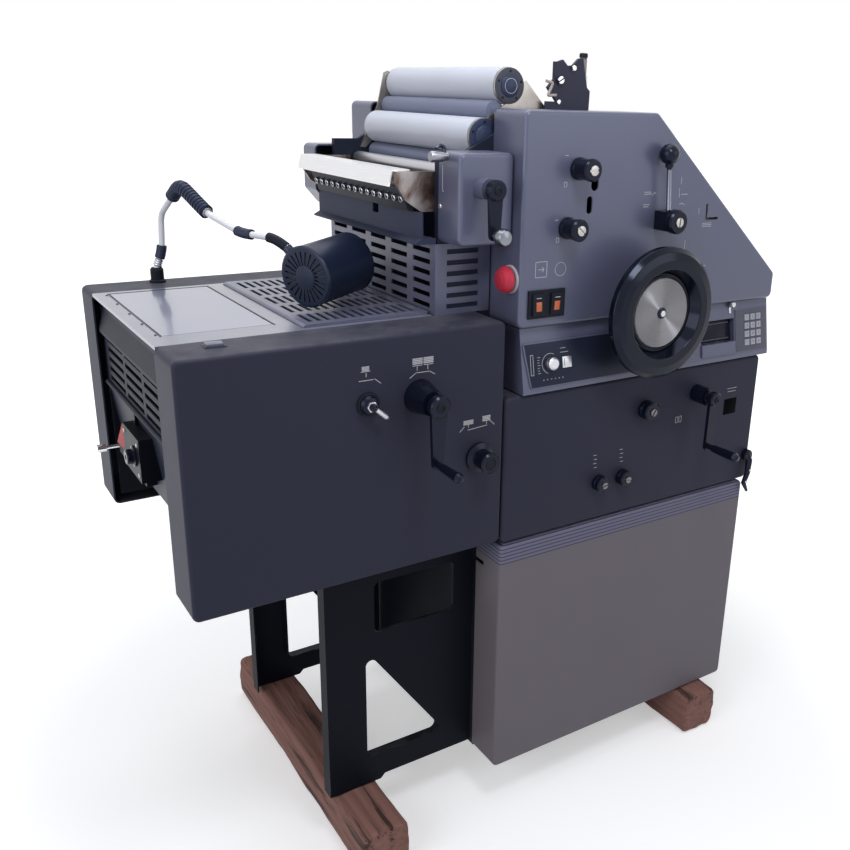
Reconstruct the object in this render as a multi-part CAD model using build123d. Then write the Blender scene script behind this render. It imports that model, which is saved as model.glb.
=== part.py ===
from build123d import *
import os
from math import atan2, degrees, hypot

# A small floor-standing offset press. The delivery unit is on the left, with an inking head above
# its inner end. The main unit is on the right, over a cabinet, with the hand controls on its near
# side. A sheet steel stand and two timbers carry it.
# X runs right along the near side, Y goes back and Z is up. While the pieces are made, x = 0 is the
# left edge of the main upper cover, y = 0 its near face and z = 0 the top of the timbers.

# Whole machine
machine_depth = 642.0
timber_height = 105.0
timber_width = 100.0
timber_overhang = 42.0
timber_edge = 4.0
left_timber_inset = 8.0
right_timber_inset = 152.0

# Sheet covers
cover_depth = 98.0
sheet = 3.0
bend = 7.0
corner = 12.0
seam = 3.0

# Heights, from the timbers up
door_height = 525.0
door_gap = 5.0
lower_height = 297.0
strip_height = 123.0
upper_height = 381.0
lower_bottom = door_height + door_gap
strip_bottom = lower_bottom + lower_height + seam
upper_bottom = strip_bottom + strip_height + seam
main_top = upper_bottom + upper_height

# Main unit
main_width = 680.0
slope_run = 376.0
slope_foot = upper_bottom + 55
slope_start = main_width - slope_run
skirt_left = -23.0
lower_inset = 13.0
frame_thickness = 12.0
frame_drop = 15.0
frame_inset = 12.0

# Cabinet
door_inset = 23.0
door_depth = 88.0
door_notch_drop = 60.0
cabinet_inset = 7.0
cabinet_gap = 2.0

# Delivery unit
delivery_length = 590.0
delivery_height = 439.0
delivery_bottom = lower_bottom + 6
delivery_right = skirt_left - seam
delivery_left = delivery_right - delivery_length
deck_top = delivery_bottom + delivery_height
deck_sheet = 3.0
deck_ledge = 8.0
deck_fit = 1.5
window_inset = 28.0
window_strap = 33.0
window_border = 61.0
window_far_border = 19.0
grille_length = 245.0
grille_raise = 5.0
grille_round = 6.0
slot_rows = 5
slot_pitch = 16.5
slot_width = 8.0
slot_land = 21.0

# Delivery end
end_inset = 14.0
end_bar_drop = 73.0
end_panel_drop = 177.0
end_rows = 5
end_columns = 3
end_slot_height = 9.0
end_slot_land = 16.0
chute_bottom = delivery_bottom + 76
stop_width = 114.0
stop_height = 80.0
stop_depth = 24.0

# Stand
stand_sheet = 8.0
leg_width = 83.5
leg_left = skirt_left - 330
leg_right = leg_left + leg_width
foot_length = 113.0
foot_step = 10.0
rail_top = 64.0
gusset_width = 178.5
gusset_top = 318.0
gusset_corner = 12.0
stand_flange = 30.0
window_fold = 12.0
hatch_bottom = 352.0
hatch_top = 462.0
hatch_inset = 20.0

# Inking head
head_left = -120.0
head_cover_left = -113.0
head_cover_right = -2.0
head_cover_near = 27.0
head_cover_height = 157.0
head_cover_top = main_top - 72
head_cover_bottom = head_cover_top - head_cover_height
head_vent_top = head_cover_bottom - 4
vent_rows = 6
vent_slot_height = 9.0
far_head_left = -153.0
far_head_top = head_cover_top - 15
far_head_bottom = head_cover_bottom + 16
far_head_depth = 64.0

# Ink rollers
roller_radius = 32.0
roller_nip = 0.4
roller_end_gap = 2.0
journal_radius = 8.0
running_gap = 0.08
top_roller = (38.0, main_top + 38)
middle_roller = (-14.0, main_top - 49)
rider_low = (-20.0, main_top - 98)
fountain_roller = (-60.0, main_top - 115)
fountain_roller_radius = 15.0
bracket_sheet = 4.0

# Hand controls on the near side
stem_radius = 6.0
crank_stem_radius = 8.0
stem_length = 14.0
knob_gap = 1.5
wheel = (main_width - 397, upper_bottom + 18)
wheel_radius = 127.0
wheel_reach = 90.0
wheel_shaft_radius = 14.0
disc_radius = 67.0
disc_depth = 18.0
disc_sheet = 4.0

pieces = {}


def front(x, z, y=0.0):
    """Place on a near face: local x is +X, local y is up and local z comes out towards the user."""
    return Location((x, y, z), (90, 0, 0))


def outline(points, radius=0.0):
    """Flat outline with rounded corners."""
    face = make_face(Polyline(*points, close=True))
    if radius:
        face = fillet(face.vertices(), radius)
    return face


def slab(points, y, thickness, radius=0.0):
    """Plate cut to an outline in the XZ plane, from y to y + thickness."""
    return front(0, 0, y + thickness) * extrude(outline(points, radius), amount=thickness)


def block(x0, x1, y0, y1, z0, z1):
    """Box between two corners."""
    return Pos((x0 + x1) / 2, (y0 + y1) / 2, (z0 + z1) / 2) * Box(x1 - x0, y1 - y0, z1 - z0)


def tray(points, radius, depth):
    """Sheet cover with its face at y = 0 and a flange all round, bent back by the depth."""
    face = outline(points, radius)
    inside = Pos(0, 0, -sheet) * extrude(offset(face, -sheet), amount=sheet - depth)
    shell = extrude(face, amount=-depth) - inside
    face_edges = shell.faces().sort_by(Axis.Z)[-1].edges()
    return front(0, 0) * fillet(face_edges, bend)


def far_side(piece):
    """The same piece turned over for the far side of the machine."""
    return Pos(0, machine_depth, 0) * mirror(piece, about=Plane.XZ)


def turned(profile, place):
    """Solid turned about the local z axis of a place; the profile gives radius and height pairs."""
    return place * revolve(Plane.XZ * outline(profile), Axis.Z)


def hole(place, radius, start, end):
    """Round cutter or boss along the local z axis of a place."""
    return place * Pos(0, 0, (start + end) / 2) * Cylinder(radius, end - start)


def distance(a, b):
    return hypot(a[0] - b[0], a[1] - b[1])


# Timbers
door_right = main_width - door_inset
left_timber_x = leg_left + left_timber_inset
right_timber_x = door_right - right_timber_inset
timber_near = -timber_overhang
timber_far = machine_depth + timber_overhang
for side, x in (("left", left_timber_x), ("right", right_timber_x)):
    beam = block(x, x + timber_width, timber_near, timber_far, -timber_height, 0)
    pieces["timber_skid_" + side] = chamfer(beam.edges().filter_by(Axis.Y), timber_edge)

# Stand frames, which also carry the delivery unit: a leg, a foot rail, a gusset over a triangular
# window with its edge folded back, and a hatch under the delivery covers
frame_y = cover_depth
deck_under = deck_top - deck_sheet
deck_floor = deck_under - deck_sheet
end_x = delivery_left + end_inset
arm_bottom = delivery_bottom + 24
foot_right = leg_left + foot_length
stand_outline = [
    (leg_left, 0),
    (foot_right, 0),
    (foot_right + foot_step, foot_step),
    (skirt_left, foot_step),
    (skirt_left, deck_floor),
    (end_x, deck_floor),
    (end_x, arm_bottom),
    (leg_left, arm_bottom),
]
gusset_right = leg_right + gusset_width
gusset = outline([(leg_right, rail_top), (gusset_right, rail_top), (leg_right, gusset_top)], gusset_corner)
fold_place = front(0, 0, frame_y + stand_sheet + window_fold)
fold = fold_place * extrude(offset(gusset, sheet), amount=window_fold)
gusset_cut = fold_place * extrude(gusset, amount=2 * window_fold + stand_sheet)
hatch = slab(
    [
        (leg_right + hatch_inset, hatch_bottom),
        (gusset_right + hatch_inset, hatch_bottom),
        (gusset_right + hatch_inset, hatch_top),
        (leg_right + hatch_inset, hatch_top),
    ],
    frame_y,
    stand_sheet,
    gusset_corner,
)
stand_near = slab(stand_outline, frame_y, stand_sheet)
stand_near += block(leg_left, leg_left + sheet, frame_y, frame_y + stand_flange, 0, arm_bottom)
stand_near = stand_near + fold - gusset_cut - hatch
pieces["stand_near_frame"] = stand_near
pieces["stand_far_frame"] = far_side(stand_near)

# Cabinet
cabinet_left = skirt_left + sheet
cabinet_right = door_right - cabinet_inset
cabinet_top = lower_bottom - cabinet_gap
cabinet = block(cabinet_left, cabinet_right, door_depth, machine_depth - door_depth, 0, cabinet_top)
cabinet -= block(cabinet_left + sheet, cabinet_right - sheet, 0, machine_depth, sheet, cabinet_top - sheet)
pieces["cabinet_body"] = cabinet
door_outline = [(skirt_left, 0), (door_right, 0), (door_right, door_height), (skirt_left, door_height)]
door_notch_top = door_height - door_notch_drop
door_notch = block(skirt_left, skirt_left + sheet, door_notch_drop, door_depth, door_notch_top - 9, door_notch_top)
pieces["cabinet_door"] = tray(door_outline, corner, door_depth) - door_notch
pieces["cabinet_far_door"] = far_side(pieces["cabinet_door"])

# Main side frames: cast plates behind the covers, with the head's own frames in front of them
lower_right = main_width - lower_inset
frame_top = main_top - frame_drop
frame_right = lower_right - frame_inset
frame_bottom = lower_bottom - cabinet_gap
head_frame_left = head_left + 6
head_frame_top = head_cover_top - sheet
slope = (slope_foot - main_top) / slope_run


def slope_height(x):
    """Height of the sloping edge of the main unit."""
    return main_top + slope * (x - slope_start)


frame_outline = [
    (skirt_left, frame_bottom),
    (frame_right, frame_bottom),
    (frame_right, slope_height(frame_right) - frame_drop),
    (slope_start, frame_top),
    (60, frame_top),
    (-60, head_frame_top),
    (head_frame_left, head_frame_top),
    (head_frame_left, deck_top + 2),
    (skirt_left, deck_top + 2),
]
near_frame = slab(frame_outline, frame_y, frame_thickness)
inner_near = frame_y + frame_thickness
inner_far = machine_depth - inner_near

# Main covers
upper_outline = [
    (0, upper_bottom),
    (main_width, upper_bottom),
    (main_width, slope_foot),
    (slope_start, main_top),
    (0, main_top),
]
lower_top = strip_bottom - seam
lower_outline = [
    (skirt_left, lower_bottom),
    (lower_right, lower_bottom),
    (lower_right, lower_top),
    (skirt_left, lower_top),
]
far_outline = [
    (skirt_left, lower_bottom),
    (main_width, lower_bottom),
    (main_width, slope_foot),
    (slope_start, main_top),
    (skirt_left, main_top),
]
upper_cover = tray(upper_outline, corner, cover_depth)
lower_cover = tray(lower_outline, corner, cover_depth)
pieces["main_far_cover"] = far_side(tray(far_outline, corner, cover_depth))

# Control strip, leaning out at its foot, with a raised switch panel, a display recess with a lip
# under it, and a pad for the keys
strip_left = 12.0
strip_recess = 14.0
strip_proud = 6.0
strip_foot = 8.0
strip_run = strip_recess + strip_proud
strip_rise = strip_height - strip_foot
strip_slant = hypot(strip_run, strip_rise)
strip_profile = [
    (strip_recess, strip_bottom + strip_height),
    (-strip_proud, strip_bottom + strip_foot),
    (-strip_proud, strip_bottom),
    (cover_depth, strip_bottom),
    (cover_depth, strip_bottom + strip_height),
]
strip_place = Location((0, -strip_proud, strip_bottom + strip_foot), (90 - degrees(atan2(strip_run, strip_rise)), 0, 0))
panel_sheet = 3.0
panel_right = wheel[0] + 80
panel_top = strip_slant - 28
panel = outline([(strip_left + 16, 2), (panel_right, 2), (panel_right, panel_top), (strip_left + 2, panel_top)], 6)
pad_width = 96.0
pad_right = main_width - 6
pad_left = pad_right - pad_width
pad_sheet = 1.5
pad_low = 6.0
pad_high = strip_slant - 18
display_left = pad_left - 104
display_right = pad_left - 3
display_low = pad_low + 26
display_high = pad_high - 17
display_depth = 18.0
lip_sheet = 4.0


def on_strip(x0, x1, y0, y1, bottom, top):
    """Box on the leaning face of the control strip."""
    centre = Pos((x0 + x1) / 2, (y0 + y1) / 2, (bottom + top) / 2)
    return strip_place * centre * Box(x1 - x0, y1 - y0, top - bottom)


strip_body = Pos(strip_left, 0, 0) * extrude(Plane.YZ * outline(strip_profile), amount=main_width - strip_left)
control_strip = strip_body + strip_place * extrude(panel, amount=panel_sheet)
control_strip += on_strip(pad_left, pad_right, pad_low, pad_high, -1, pad_sheet)
control_strip += on_strip(display_left, display_right, pad_low, display_low, -1, lip_sheet)
control_strip -= on_strip(display_left, display_right, display_low, display_high, -display_depth, lip_sheet)

# Keypad and rocker switches
key_columns = 3
key_rows = 4
key_pitch = 18.2
key_size = 13.0
key_height = 3.0
keypad_middle = (pad_left + pad_right) / 2 + 4
keys = []
for column in range(key_columns):
    for row in range(key_rows):
        key_x = keypad_middle + (column - (key_columns - 1) / 2) * key_pitch
        key_y = (pad_low + pad_high) / 2 + (row - (key_rows - 1) / 2) * key_pitch
        key_place = strip_place * Pos(key_x, key_y, pad_sheet + key_height / 2)
        keys.append(key_place * Box(key_size, key_size, key_height))
pieces["keypad"] = keys[0] + keys[1:]

bezel_width = 82.0
bezel_height = 52.0
bezel_sheet = 4.0
rocker_width = 26.0
rocker_raise = 3.0
rocker_tilt = 4.0
rocker_place = front(59, upper_bottom + 44)
rockers = rocker_place * Pos(0, 0, bezel_sheet / 2) * Box(bezel_width, bezel_height, bezel_sheet)
for side in (-1, 1):
    rocker_at = rocker_place * Pos(side * bezel_width / 4, 0, bezel_sheet + 1) * Rot(side * rocker_tilt, 0, 0)
    rockers += rocker_at * Box(rocker_width, bezel_height - 12, 2 * rocker_raise)
pieces["power_switches"] = rockers

# Delivery covers, deck, window and raised grille
delivery_outline = [
    (delivery_left, delivery_bottom),
    (delivery_right, delivery_bottom),
    (delivery_right, deck_top),
    (delivery_left, deck_top),
]
delivery_cover = tray(delivery_outline, corner, cover_depth)
pieces["delivery_far_cover"] = far_side(delivery_cover)

far_inside = machine_depth - cover_depth
deck_right = head_left - seam
window_left = delivery_left + window_inset
grille_right = deck_right - 1
grille_border = 12.0
window_limits = (
    window_left,
    deck_right - grille_length - window_strap,
    cover_depth + window_border,
    far_inside - window_far_border,
)
grille_limits = (
    deck_right - grille_length,
    grille_right,
    cover_depth + grille_border,
    far_inside - grille_border,
)
deck = block(delivery_left + 2, deck_right, cover_depth, far_inside, deck_floor, deck_top)
for x0, x1, y0, y1 in (window_limits, grille_limits):
    deck -= block(x0, x1, y0, y1, deck_under, deck_top + 1)
    deck -= block(x0 + deck_ledge, x1 - deck_ledge, y0 + deck_ledge, y1 - deck_ledge, deck_floor - 1, deck_top)
pieces["delivery_deck"] = deck
x0, x1, y0, y1 = window_limits
pieces["deck_window"] = block(x0 + deck_fit, x1 - deck_fit, y0 + deck_fit, y1 - deck_fit, deck_under, deck_top)

x0, x1, y0, y1 = grille_limits
grille_top = deck_top + grille_raise
grille = block(x0 + deck_fit, x1 - deck_fit, y0 + deck_fit, y1 - deck_fit, deck_under, grille_top)
grille_edge = grille.edges().filter_by(Axis.Y).sort_by(Axis.Z)[-2:].sort_by(Axis.X)[0]
grille = fillet(grille_edge, grille_round)
grille -= block(x0 + deck_ledge, x1 - deck_ledge, y0 + deck_ledge, y1 - deck_ledge, deck_under - 1, grille_top - sheet)
row_pitch = (y1 - y0 - slot_land) / slot_rows
slots = []
slot_x = x0 + 2 * deck_ledge + slot_pitch / 2
while slot_x < x1 - deck_ledge - slot_width:
    for row in range(slot_rows):
        slot_y = y0 + slot_land / 2 + (row + 0.5) * row_pitch
        slots.append(Pos(slot_x, slot_y, grille_top) * Box(slot_width, row_pitch - slot_land, 4 * sheet))
    slot_x += slot_pitch
pieces["deck_grille"] = grille - slots

# Delivery end: bevelled bar, slotted panel with a rod along its foot, and the chute below it
end_near = frame_y + stand_sheet
end_far = machine_depth - end_near
end_width = end_far - end_near
bar_bottom = deck_top - end_bar_drop
bar_top = deck_floor - 12
panel_bottom = deck_top - end_panel_drop
bar_profile = [
    (end_x - 8, bar_bottom),
    (end_x + 6, bar_bottom),
    (end_x + 6, bar_top),
    (end_x + 2, bar_top),
    (end_x + 2, bar_bottom + 43),
    (end_x - 8, bar_bottom + 6),
]
end_panel = block(end_x, end_x + sheet, end_near, end_far, panel_bottom, bar_bottom)
end_row_pitch = (bar_bottom - panel_bottom - end_slot_height) / end_rows
end_column_pitch = (end_width - 2 * end_slot_land) / end_columns
end_slots = []
for row in range(end_rows):
    for column in range(end_columns):
        slot_y = end_near + end_slot_land + (column + 0.5) * end_column_pitch
        slot_z = panel_bottom + end_slot_height + (row + 0.5) * end_row_pitch
        end_slots.append(Pos(end_x, slot_y, slot_z) * Box(20, end_column_pitch - end_slot_land, end_slot_height))
rod_radius = 4.0
rod_place = front(end_x - rod_radius + 1, panel_bottom + rod_radius, end_near)
end_rod = hole(rod_place, rod_radius, -end_width, 0)
pieces["delivery_end_grille"] = slab(bar_profile, end_near, end_width) + (end_panel - end_slots) + end_rod

chute_lean = 22.0
chute_knee = chute_bottom + 28
chute_profile = [
    (end_x + sheet, panel_bottom),
    (end_x, panel_bottom),
    (end_x + chute_lean, chute_knee),
    (end_x + chute_lean + 38, chute_bottom),
    (end_x + chute_lean + 40, chute_bottom + sheet),
    (end_x + chute_lean + sheet, chute_knee + 2),
]
chute_fins = 5
chute_fin_pitch = 15.0
fin_slots = []
for index in range(chute_fins):
    slot_y = end_near + (index + 1) * chute_fin_pitch
    fin_slots.append(block(end_x, end_x + 30, slot_y, slot_y + chute_fin_pitch / 2, chute_knee + 14, chute_knee + 84))
pieces["delivery_chute"] = slab(chute_profile, end_near, end_width) - fin_slots

# Sheet stop clamped on the chute: block, tab and thumb screw


def chute_face(z):
    """Place in X of the chute's outer face at a height."""
    return end_x + chute_lean * (panel_bottom - z) / (panel_bottom - chute_knee)


def on_chute(outer, bottom, top, near, width):
    """Block on the chute between two heights, with its outer face reaching past the chute's."""
    x = chute_face(top) - outer
    return slab([(x, top), (chute_face(top), top), (chute_face(bottom), bottom), (x, bottom)], near, width)


stop_far = end_far - 184
stop_near = stop_far - stop_width
stop_top = panel_bottom - 22
stop_bottom = stop_top - stop_height
clamp_depth = 14.0
clamp_height = 36.0
clamp_bottom = stop_bottom - 32
clamp_far = end_far - 32
stop_strap = block(end_x - 5, end_x, stop_far - 30, stop_far - 12, stop_top - 10, panel_bottom)
stop_clamp = on_chute(clamp_depth, clamp_bottom, clamp_bottom + clamp_height, stop_near + 60, clamp_far - stop_near - 60)
stop_block = on_chute(stop_depth, stop_bottom, stop_top, stop_near, stop_width)
pieces["delivery_stop"] = stop_block + stop_clamp + stop_strap
tab_reach = 92.0
tab_bottom = stop_bottom + 10
tab_profile = [
    (stop_far, tab_bottom + 8),
    (stop_far + tab_reach, tab_bottom),
    (stop_far + 36, tab_bottom + 54),
    (stop_far, tab_bottom + 47),
]
tab_x = chute_face(stop_top) - stop_depth + 6
pieces["stop_tab"] = Pos(tab_x, 0, 0) * extrude(Plane.YZ * outline(tab_profile), amount=sheet)
screw_x = chute_face(clamp_bottom + clamp_height) - clamp_depth
screw_at = Location((screw_x, clamp_far - 14, clamp_bottom + clamp_height / 2), (0, -90, 0))
screw_profile = [(0, 0), (4, 0), (4, 28), (8, 28), (8, 44), (0, 44)]
pieces["stop_screw"] = turned(screw_profile, screw_at)

# Head covers, vents and plates
near_head_outline = [
    (head_cover_left, head_cover_bottom),
    (head_cover_right, head_cover_bottom),
    (head_cover_right, head_cover_top),
    (head_cover_left, head_cover_top),
]
near_head = Pos(0, head_cover_near, 0) * tray(near_head_outline, corner, frame_y - head_cover_near)
far_head_right = skirt_left - 1
far_head_outline = [
    (far_head_left + 30, far_head_bottom),
    (far_head_right, far_head_bottom),
    (far_head_right, far_head_top),
    (far_head_left, far_head_top),
    (far_head_left, far_head_bottom + 34),
]
far_head = tray(far_head_outline, corner, far_head_depth)
pieces["head_far_cover"] = Pos(0, far_head_depth - frame_y, 0) * far_side(far_head)

vent_y = frame_y - sheet
vent_right = head_cover_right - 2
vent_near = block(head_left, vent_right, vent_y, frame_y, deck_top, head_vent_top)
vent_side = block(head_left, head_left + sheet, frame_y, machine_depth - frame_y, deck_top, head_vent_top)
vent_pitch = (head_vent_top - deck_top - vent_slot_height) / vent_rows
vent_columns = 5
vent_column_pitch = (machine_depth - 2 * frame_y - vent_slot_height) / vent_columns
vent_land = 24.0
vent_slots = []
for row in range(vent_rows):
    z = deck_top + vent_slot_height / 2 + (row + 0.5) * vent_pitch
    near_slot = Box(vent_right - head_left - 2 * vent_land, 20, vent_slot_height)
    vent_slots.append(Pos((head_left + vent_right) / 2, vent_y, z) * near_slot)
    for column in range(vent_columns):
        y = frame_y + vent_slot_height / 2 + (column + 0.5) * vent_column_pitch
        vent_slots.append(Pos(head_left, y, z) * Box(20, vent_column_pitch - vent_land, vent_slot_height))
pieces["head_vents"] = vent_near + vent_side - vent_slots

plate_x = head_left - 26
plate_bottom = head_vent_top + 10
plate_top = plate_bottom + 46
notch_near = inner_near + 156
notch_width = 24.0
notch_depth = 19.0
notch_plate = block(plate_x, plate_x + sheet, frame_y, far_inside, plate_bottom, plate_top)
notch_plate -= block(
    plate_x - 1, plate_x + sheet + 1, notch_near, notch_near + notch_width, plate_top - notch_depth, plate_top + 1
)
drip_nose = plate_x - 14
drip_profile = [
    (plate_x, plate_bottom),
    (drip_nose + 4, plate_bottom - 5),
    (drip_nose, plate_bottom - 8),
    (drip_nose + 3, head_vent_top),
    (head_left + sheet, head_vent_top),
    (head_left + sheet, plate_bottom),
]
pieces["head_front_plate"] = notch_plate + slab(drip_profile, frame_y, far_inside - frame_y)

# Ink fountain: trough with its cheeks, keys and guard
cheek = 6.0
lip = (-188.0, main_top - 108)
heel = (lip[0] + 28, lip[1] - 57)
trough_near = inner_near + cheek
trough_far = inner_far - cheek
trough_width = trough_far - trough_near
trough_profile = [
    lip,
    heel,
    (lip[0] + 68, lip[1] - 63),
    (lip[0] + 110, lip[1] - 24),
    (lip[0] + 106, lip[1] - 20),
    (lip[0] + 66, lip[1] - 57),
    (lip[0] + 33, lip[1] - 51),
    (lip[0] + 6, lip[1]),
]
cheek_profile = [
    lip,
    (lip[0] - 4, lip[1] - 17),
    (lip[0] + 16, lip[1] - 49),
    (lip[0] + 48, lip[1] - 69),
    (lip[0] + 88, lip[1] - 69),
    (lip[0] + 108, lip[1] - 43),
    (lip[0] + 108, lip[1]),
]
fountain = slab(trough_profile, trough_near, trough_width)
fountain += slab(cheek_profile, inner_near, cheek) + slab(cheek_profile, trough_far, cheek)
pieces["ink_fountain"] = fountain

key_count = 15
key_stem_radius = 3.5
key_radius = 6.5
key_length = 14.0
key_share = 0.16
key_margin = 15.0
wall_angle = degrees(atan2(lip[1] - heel[1], heel[0] - lip[0]))
key_base_x = heel[0] + (lip[0] - heel[0]) * key_share
key_base_z = heel[1] + (lip[1] - heel[1]) * key_share
key_step = (trough_width - 2 * key_margin) / (key_count - 1)
key_profile = [
    (0, 0),
    (key_stem_radius, 0),
    (key_stem_radius, key_length / 2),
    (key_radius, key_length / 2),
    (key_radius, key_length),
    (0, key_length),
]
fountain_keys = []
for index in range(key_count):
    key_at = Location((key_base_x, trough_near + key_margin + index * key_step, key_base_z))
    fountain_keys.append(turned(key_profile, key_at * Rot(0, wall_angle - 180, 0)))
pieces["fountain_keys"] = fountain_keys[0] + fountain_keys[1:]

guard_near_gap = 4.0
guard_profile = [
    (lip[0] + 30, lip[1]),
    (lip[0] + 30, lip[1] + 3),
    (lip[0] - 5, lip[1] + 3),
    (lip[0] - 12, lip[1] - 25),
    (lip[0] - 9, lip[1] - 25),
    (lip[0] - 3, lip[1]),
]
pieces["fountain_guard"] = slab(guard_profile, trough_near + guard_near_gap, trough_width - 2 * guard_near_gap)

# Rollers between the frames, in brackets with a round bearing plate at each of the large rollers
roller_near = inner_near + bracket_sheet + roller_end_gap
roller_far = machine_depth - roller_near
rider_high = ((top_roller[0] + middle_roller[0]) / 2, (top_roller[1] + middle_roller[1]) / 2)
rider_high_radius = distance(top_roller, middle_roller) / 2 - roller_radius - roller_nip
rider_low_radius = distance(middle_roller, rider_low) - roller_radius - roller_nip


def roller(axis, radius, journal_reach):
    """Roller along Y with a journal at each end."""
    place = front(axis[0], axis[1], roller_near)
    length = roller_far - roller_near
    return hole(place, radius, -length, 0) + hole(place, journal_radius, -length - journal_reach, journal_reach)


def bores(axes, near, far):
    """Running bores for roller journals, from y = near to y = far."""
    return [hole(front(x, z, near), journal_radius + running_gap, near - far, 0) for x, z in axes]


high_axes = [top_roller, rider_high, middle_roller]
low_axes = [rider_low, fountain_roller]
high_reach = roller_end_gap + bracket_sheet
low_reach = high_reach + frame_thickness
pieces["top_roller"] = roller(top_roller, roller_radius, high_reach)
pieces["middle_roller"] = roller(middle_roller, roller_radius, high_reach)
pieces["rider_roller_high"] = roller(rider_high, rider_high_radius, high_reach)
pieces["rider_roller_low"] = roller(rider_low, rider_low_radius, low_reach)
pieces["fountain_roller"] = roller(fountain_roller, fountain_roller_radius, low_reach)
bearing_radius = roller_radius - 1
cap_radius = 13.0
cap_height = 6.0
bracket_foot = middle_roller[1] - roller_radius + 2
bracket_outline = [
    (top_roller[0] + 37, top_roller[1] + 10),
    (top_roller[0] + 5, top_roller[1] - bearing_radius + 8),
    (middle_roller[0] - 10, middle_roller[1] + 20),
    (middle_roller[0] + 2, bracket_foot),
    (118, bracket_foot),
    (118, main_top + 5),
]
bracket = slab(bracket_outline, inner_near, bracket_sheet)
for x, z in (top_roller, middle_roller):
    bracket += hole(front(x, z, inner_near), bearing_radius, -bracket_sheet, 0)
bracket += hole(front(top_roller[0], top_roller[1], inner_near), cap_radius, 0, cap_height)
bracket -= bores(high_axes, inner_near - 1, inner_near + bracket_sheet + 1)
pieces["roller_brackets"] = bracket + far_side(bracket)
near_frame -= bores(low_axes, frame_y - 1, inner_near + 1)
far_frame = far_side(near_frame)

# Lever plates that stand on the near frame, with the post beside them
plate_foot = frame_top
plate_left = 111.0
plate_outline = [
    (plate_left + 9, plate_foot),
    (plate_left + 104, plate_foot),
    (plate_left + 105, plate_foot + 49),
    (plate_left + 98, plate_foot + 55),
    (plate_left + 85, plate_foot + 107),
    (plate_left + 75, plate_foot + 105),
    (plate_left + 62, plate_foot + 93),
    (plate_left + 50, plate_foot + 92),
    (plate_left + 39, plate_foot + 102),
    (plate_left + 27, plate_foot + 98),
    (plate_left + 20, plate_foot + 98),
    (plate_left + 20, plate_foot + 68),
    (plate_left + 6, plate_foot + 53),
    (plate_left + 30, plate_foot + 26),
]
front_plate = [
    (plate_left - 2, plate_foot),
    (plate_left, plate_foot + 29),
    (plate_left + 28, plate_foot + 29),
    (plate_left + 47, plate_foot),
]
plate_sheet = 6.0
plate_y = frame_y + 4
plates = slab(plate_outline, plate_y, plate_sheet)
plates += slab(front_plate, frame_y, plate_y - frame_y)
pivot_pin = hole(front(plate_left + 31, plate_foot + 66, plate_y), 6, -plate_sheet, 8)
pieces["lever_plates"] = plates + pivot_pin
post_left = plate_left + 87
post_y = plate_y + plate_sheet
post = block(post_left, post_left + 13, post_y, post_y + 8, plate_foot + 30, plate_foot + 116)
pieces["plate_post"] = fillet(post.edges().filter_by(Axis.Z), 2)

# Hood between the covers and the feed table at the right end
hood_left = 122.0
hood_right = main_width - 250
hood_top = main_top - 25
hood_depth = 32.0
hood_break = slope_start - 8
hood_foot = upper_bottom - 256
hood_lip = main_top - 187
hood_corner = slope_height(hood_right) - hood_depth
hood_profile = [
    (hood_left, hood_lip),
    (hood_left, hood_top),
    (hood_break, hood_top),
    (hood_right, hood_corner),
    (hood_right, hood_foot),
    (hood_right - sheet, hood_foot),
    (hood_right - sheet, hood_corner - 1.5),
    (hood_break - 1, hood_top - sheet),
    (hood_left + sheet, hood_top - sheet),
    (hood_left + sheet, hood_lip),
]
pieces["main_hood"] = slab(hood_profile, inner_near, inner_far - inner_near)
table_left = hood_right + 6
table_right = main_width + 20
table_height = lower_bottom + 110
table_sheet = 8.0
table_gap = 20.0
rail_height = 20.0
feed_table = block(
    table_left, table_right, inner_near + table_gap, inner_far - table_gap, table_height, table_height + table_sheet
)
for y in (inner_near, inner_far - table_gap):
    rail_right = frame_right - 15
    feed_table += block(table_left + 34, rail_right, y, y + table_gap, table_height - rail_height, table_height)
pieces["feed_table"] = feed_table

# Work lamp: shade on a bent tube that stands on the far cover
lamp_foot = Vector(delivery_left + 141, machine_depth - 32, deck_top)
shade_end = lamp_foot + Vector(153, -405, 67)
shade_axis = Vector(0.888, 0.452, 0.083).normalized()
shade_length = 130.0
shade_radius = 55.0
shade_wall = 2.5
shade_round = 4.0
shade_slots = 24
shade_place = Plane(origin=shade_end, z_dir=shade_axis)
shade = Pos(0, 0, shade_length / 2) * Cylinder(shade_radius, shade_length)
shade = fillet(shade.edges().filter_by(GeomType.CIRCLE).sort_by(Axis.Z)[0], shade_round)
shade -= Pos(0, 0, shade_length / 2 + shade_wall) * Cylinder(shade_radius - shade_wall, shade_length)
fin_inner = 22.0
fin_outer = shade_radius - 9
for index in range(shade_slots):
    fin_place = Rot(0, 0, (index + 0.5) * 360 / shade_slots) * Pos((fin_inner + fin_outer) / 2, 0, 0)
    shade -= fin_place * Box(fin_outer - fin_inner, 3, 4 * shade_wall)
shade = shade_place * shade
lamp_tube_radius = 6.0
knuckle_radius = 9.0
knuckle_inset = 12.0
knuckle_reach = shade_radius + 10
knuckle_side = shade_axis.cross(Vector(0, 0, 1)).normalized() * -1
knuckle_out = (Vector(0, 0, 1) + knuckle_side).normalized()
knuckle_out = (knuckle_out - shade_axis * knuckle_out.dot(shade_axis)).normalized()
knuckle_base = shade_end + shade_axis * knuckle_inset
knuckle_place = Plane(origin=knuckle_base + knuckle_out * (shade_radius - 2), z_dir=knuckle_out)
knuckle_height = knuckle_reach - shade_radius + 2
shade += knuckle_place * Pos(0, 0, knuckle_height / 2) * Cylinder(knuckle_radius, knuckle_height)
pieces["lamp_shade"] = shade
lamp_end = knuckle_base + knuckle_out * knuckle_reach
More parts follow.
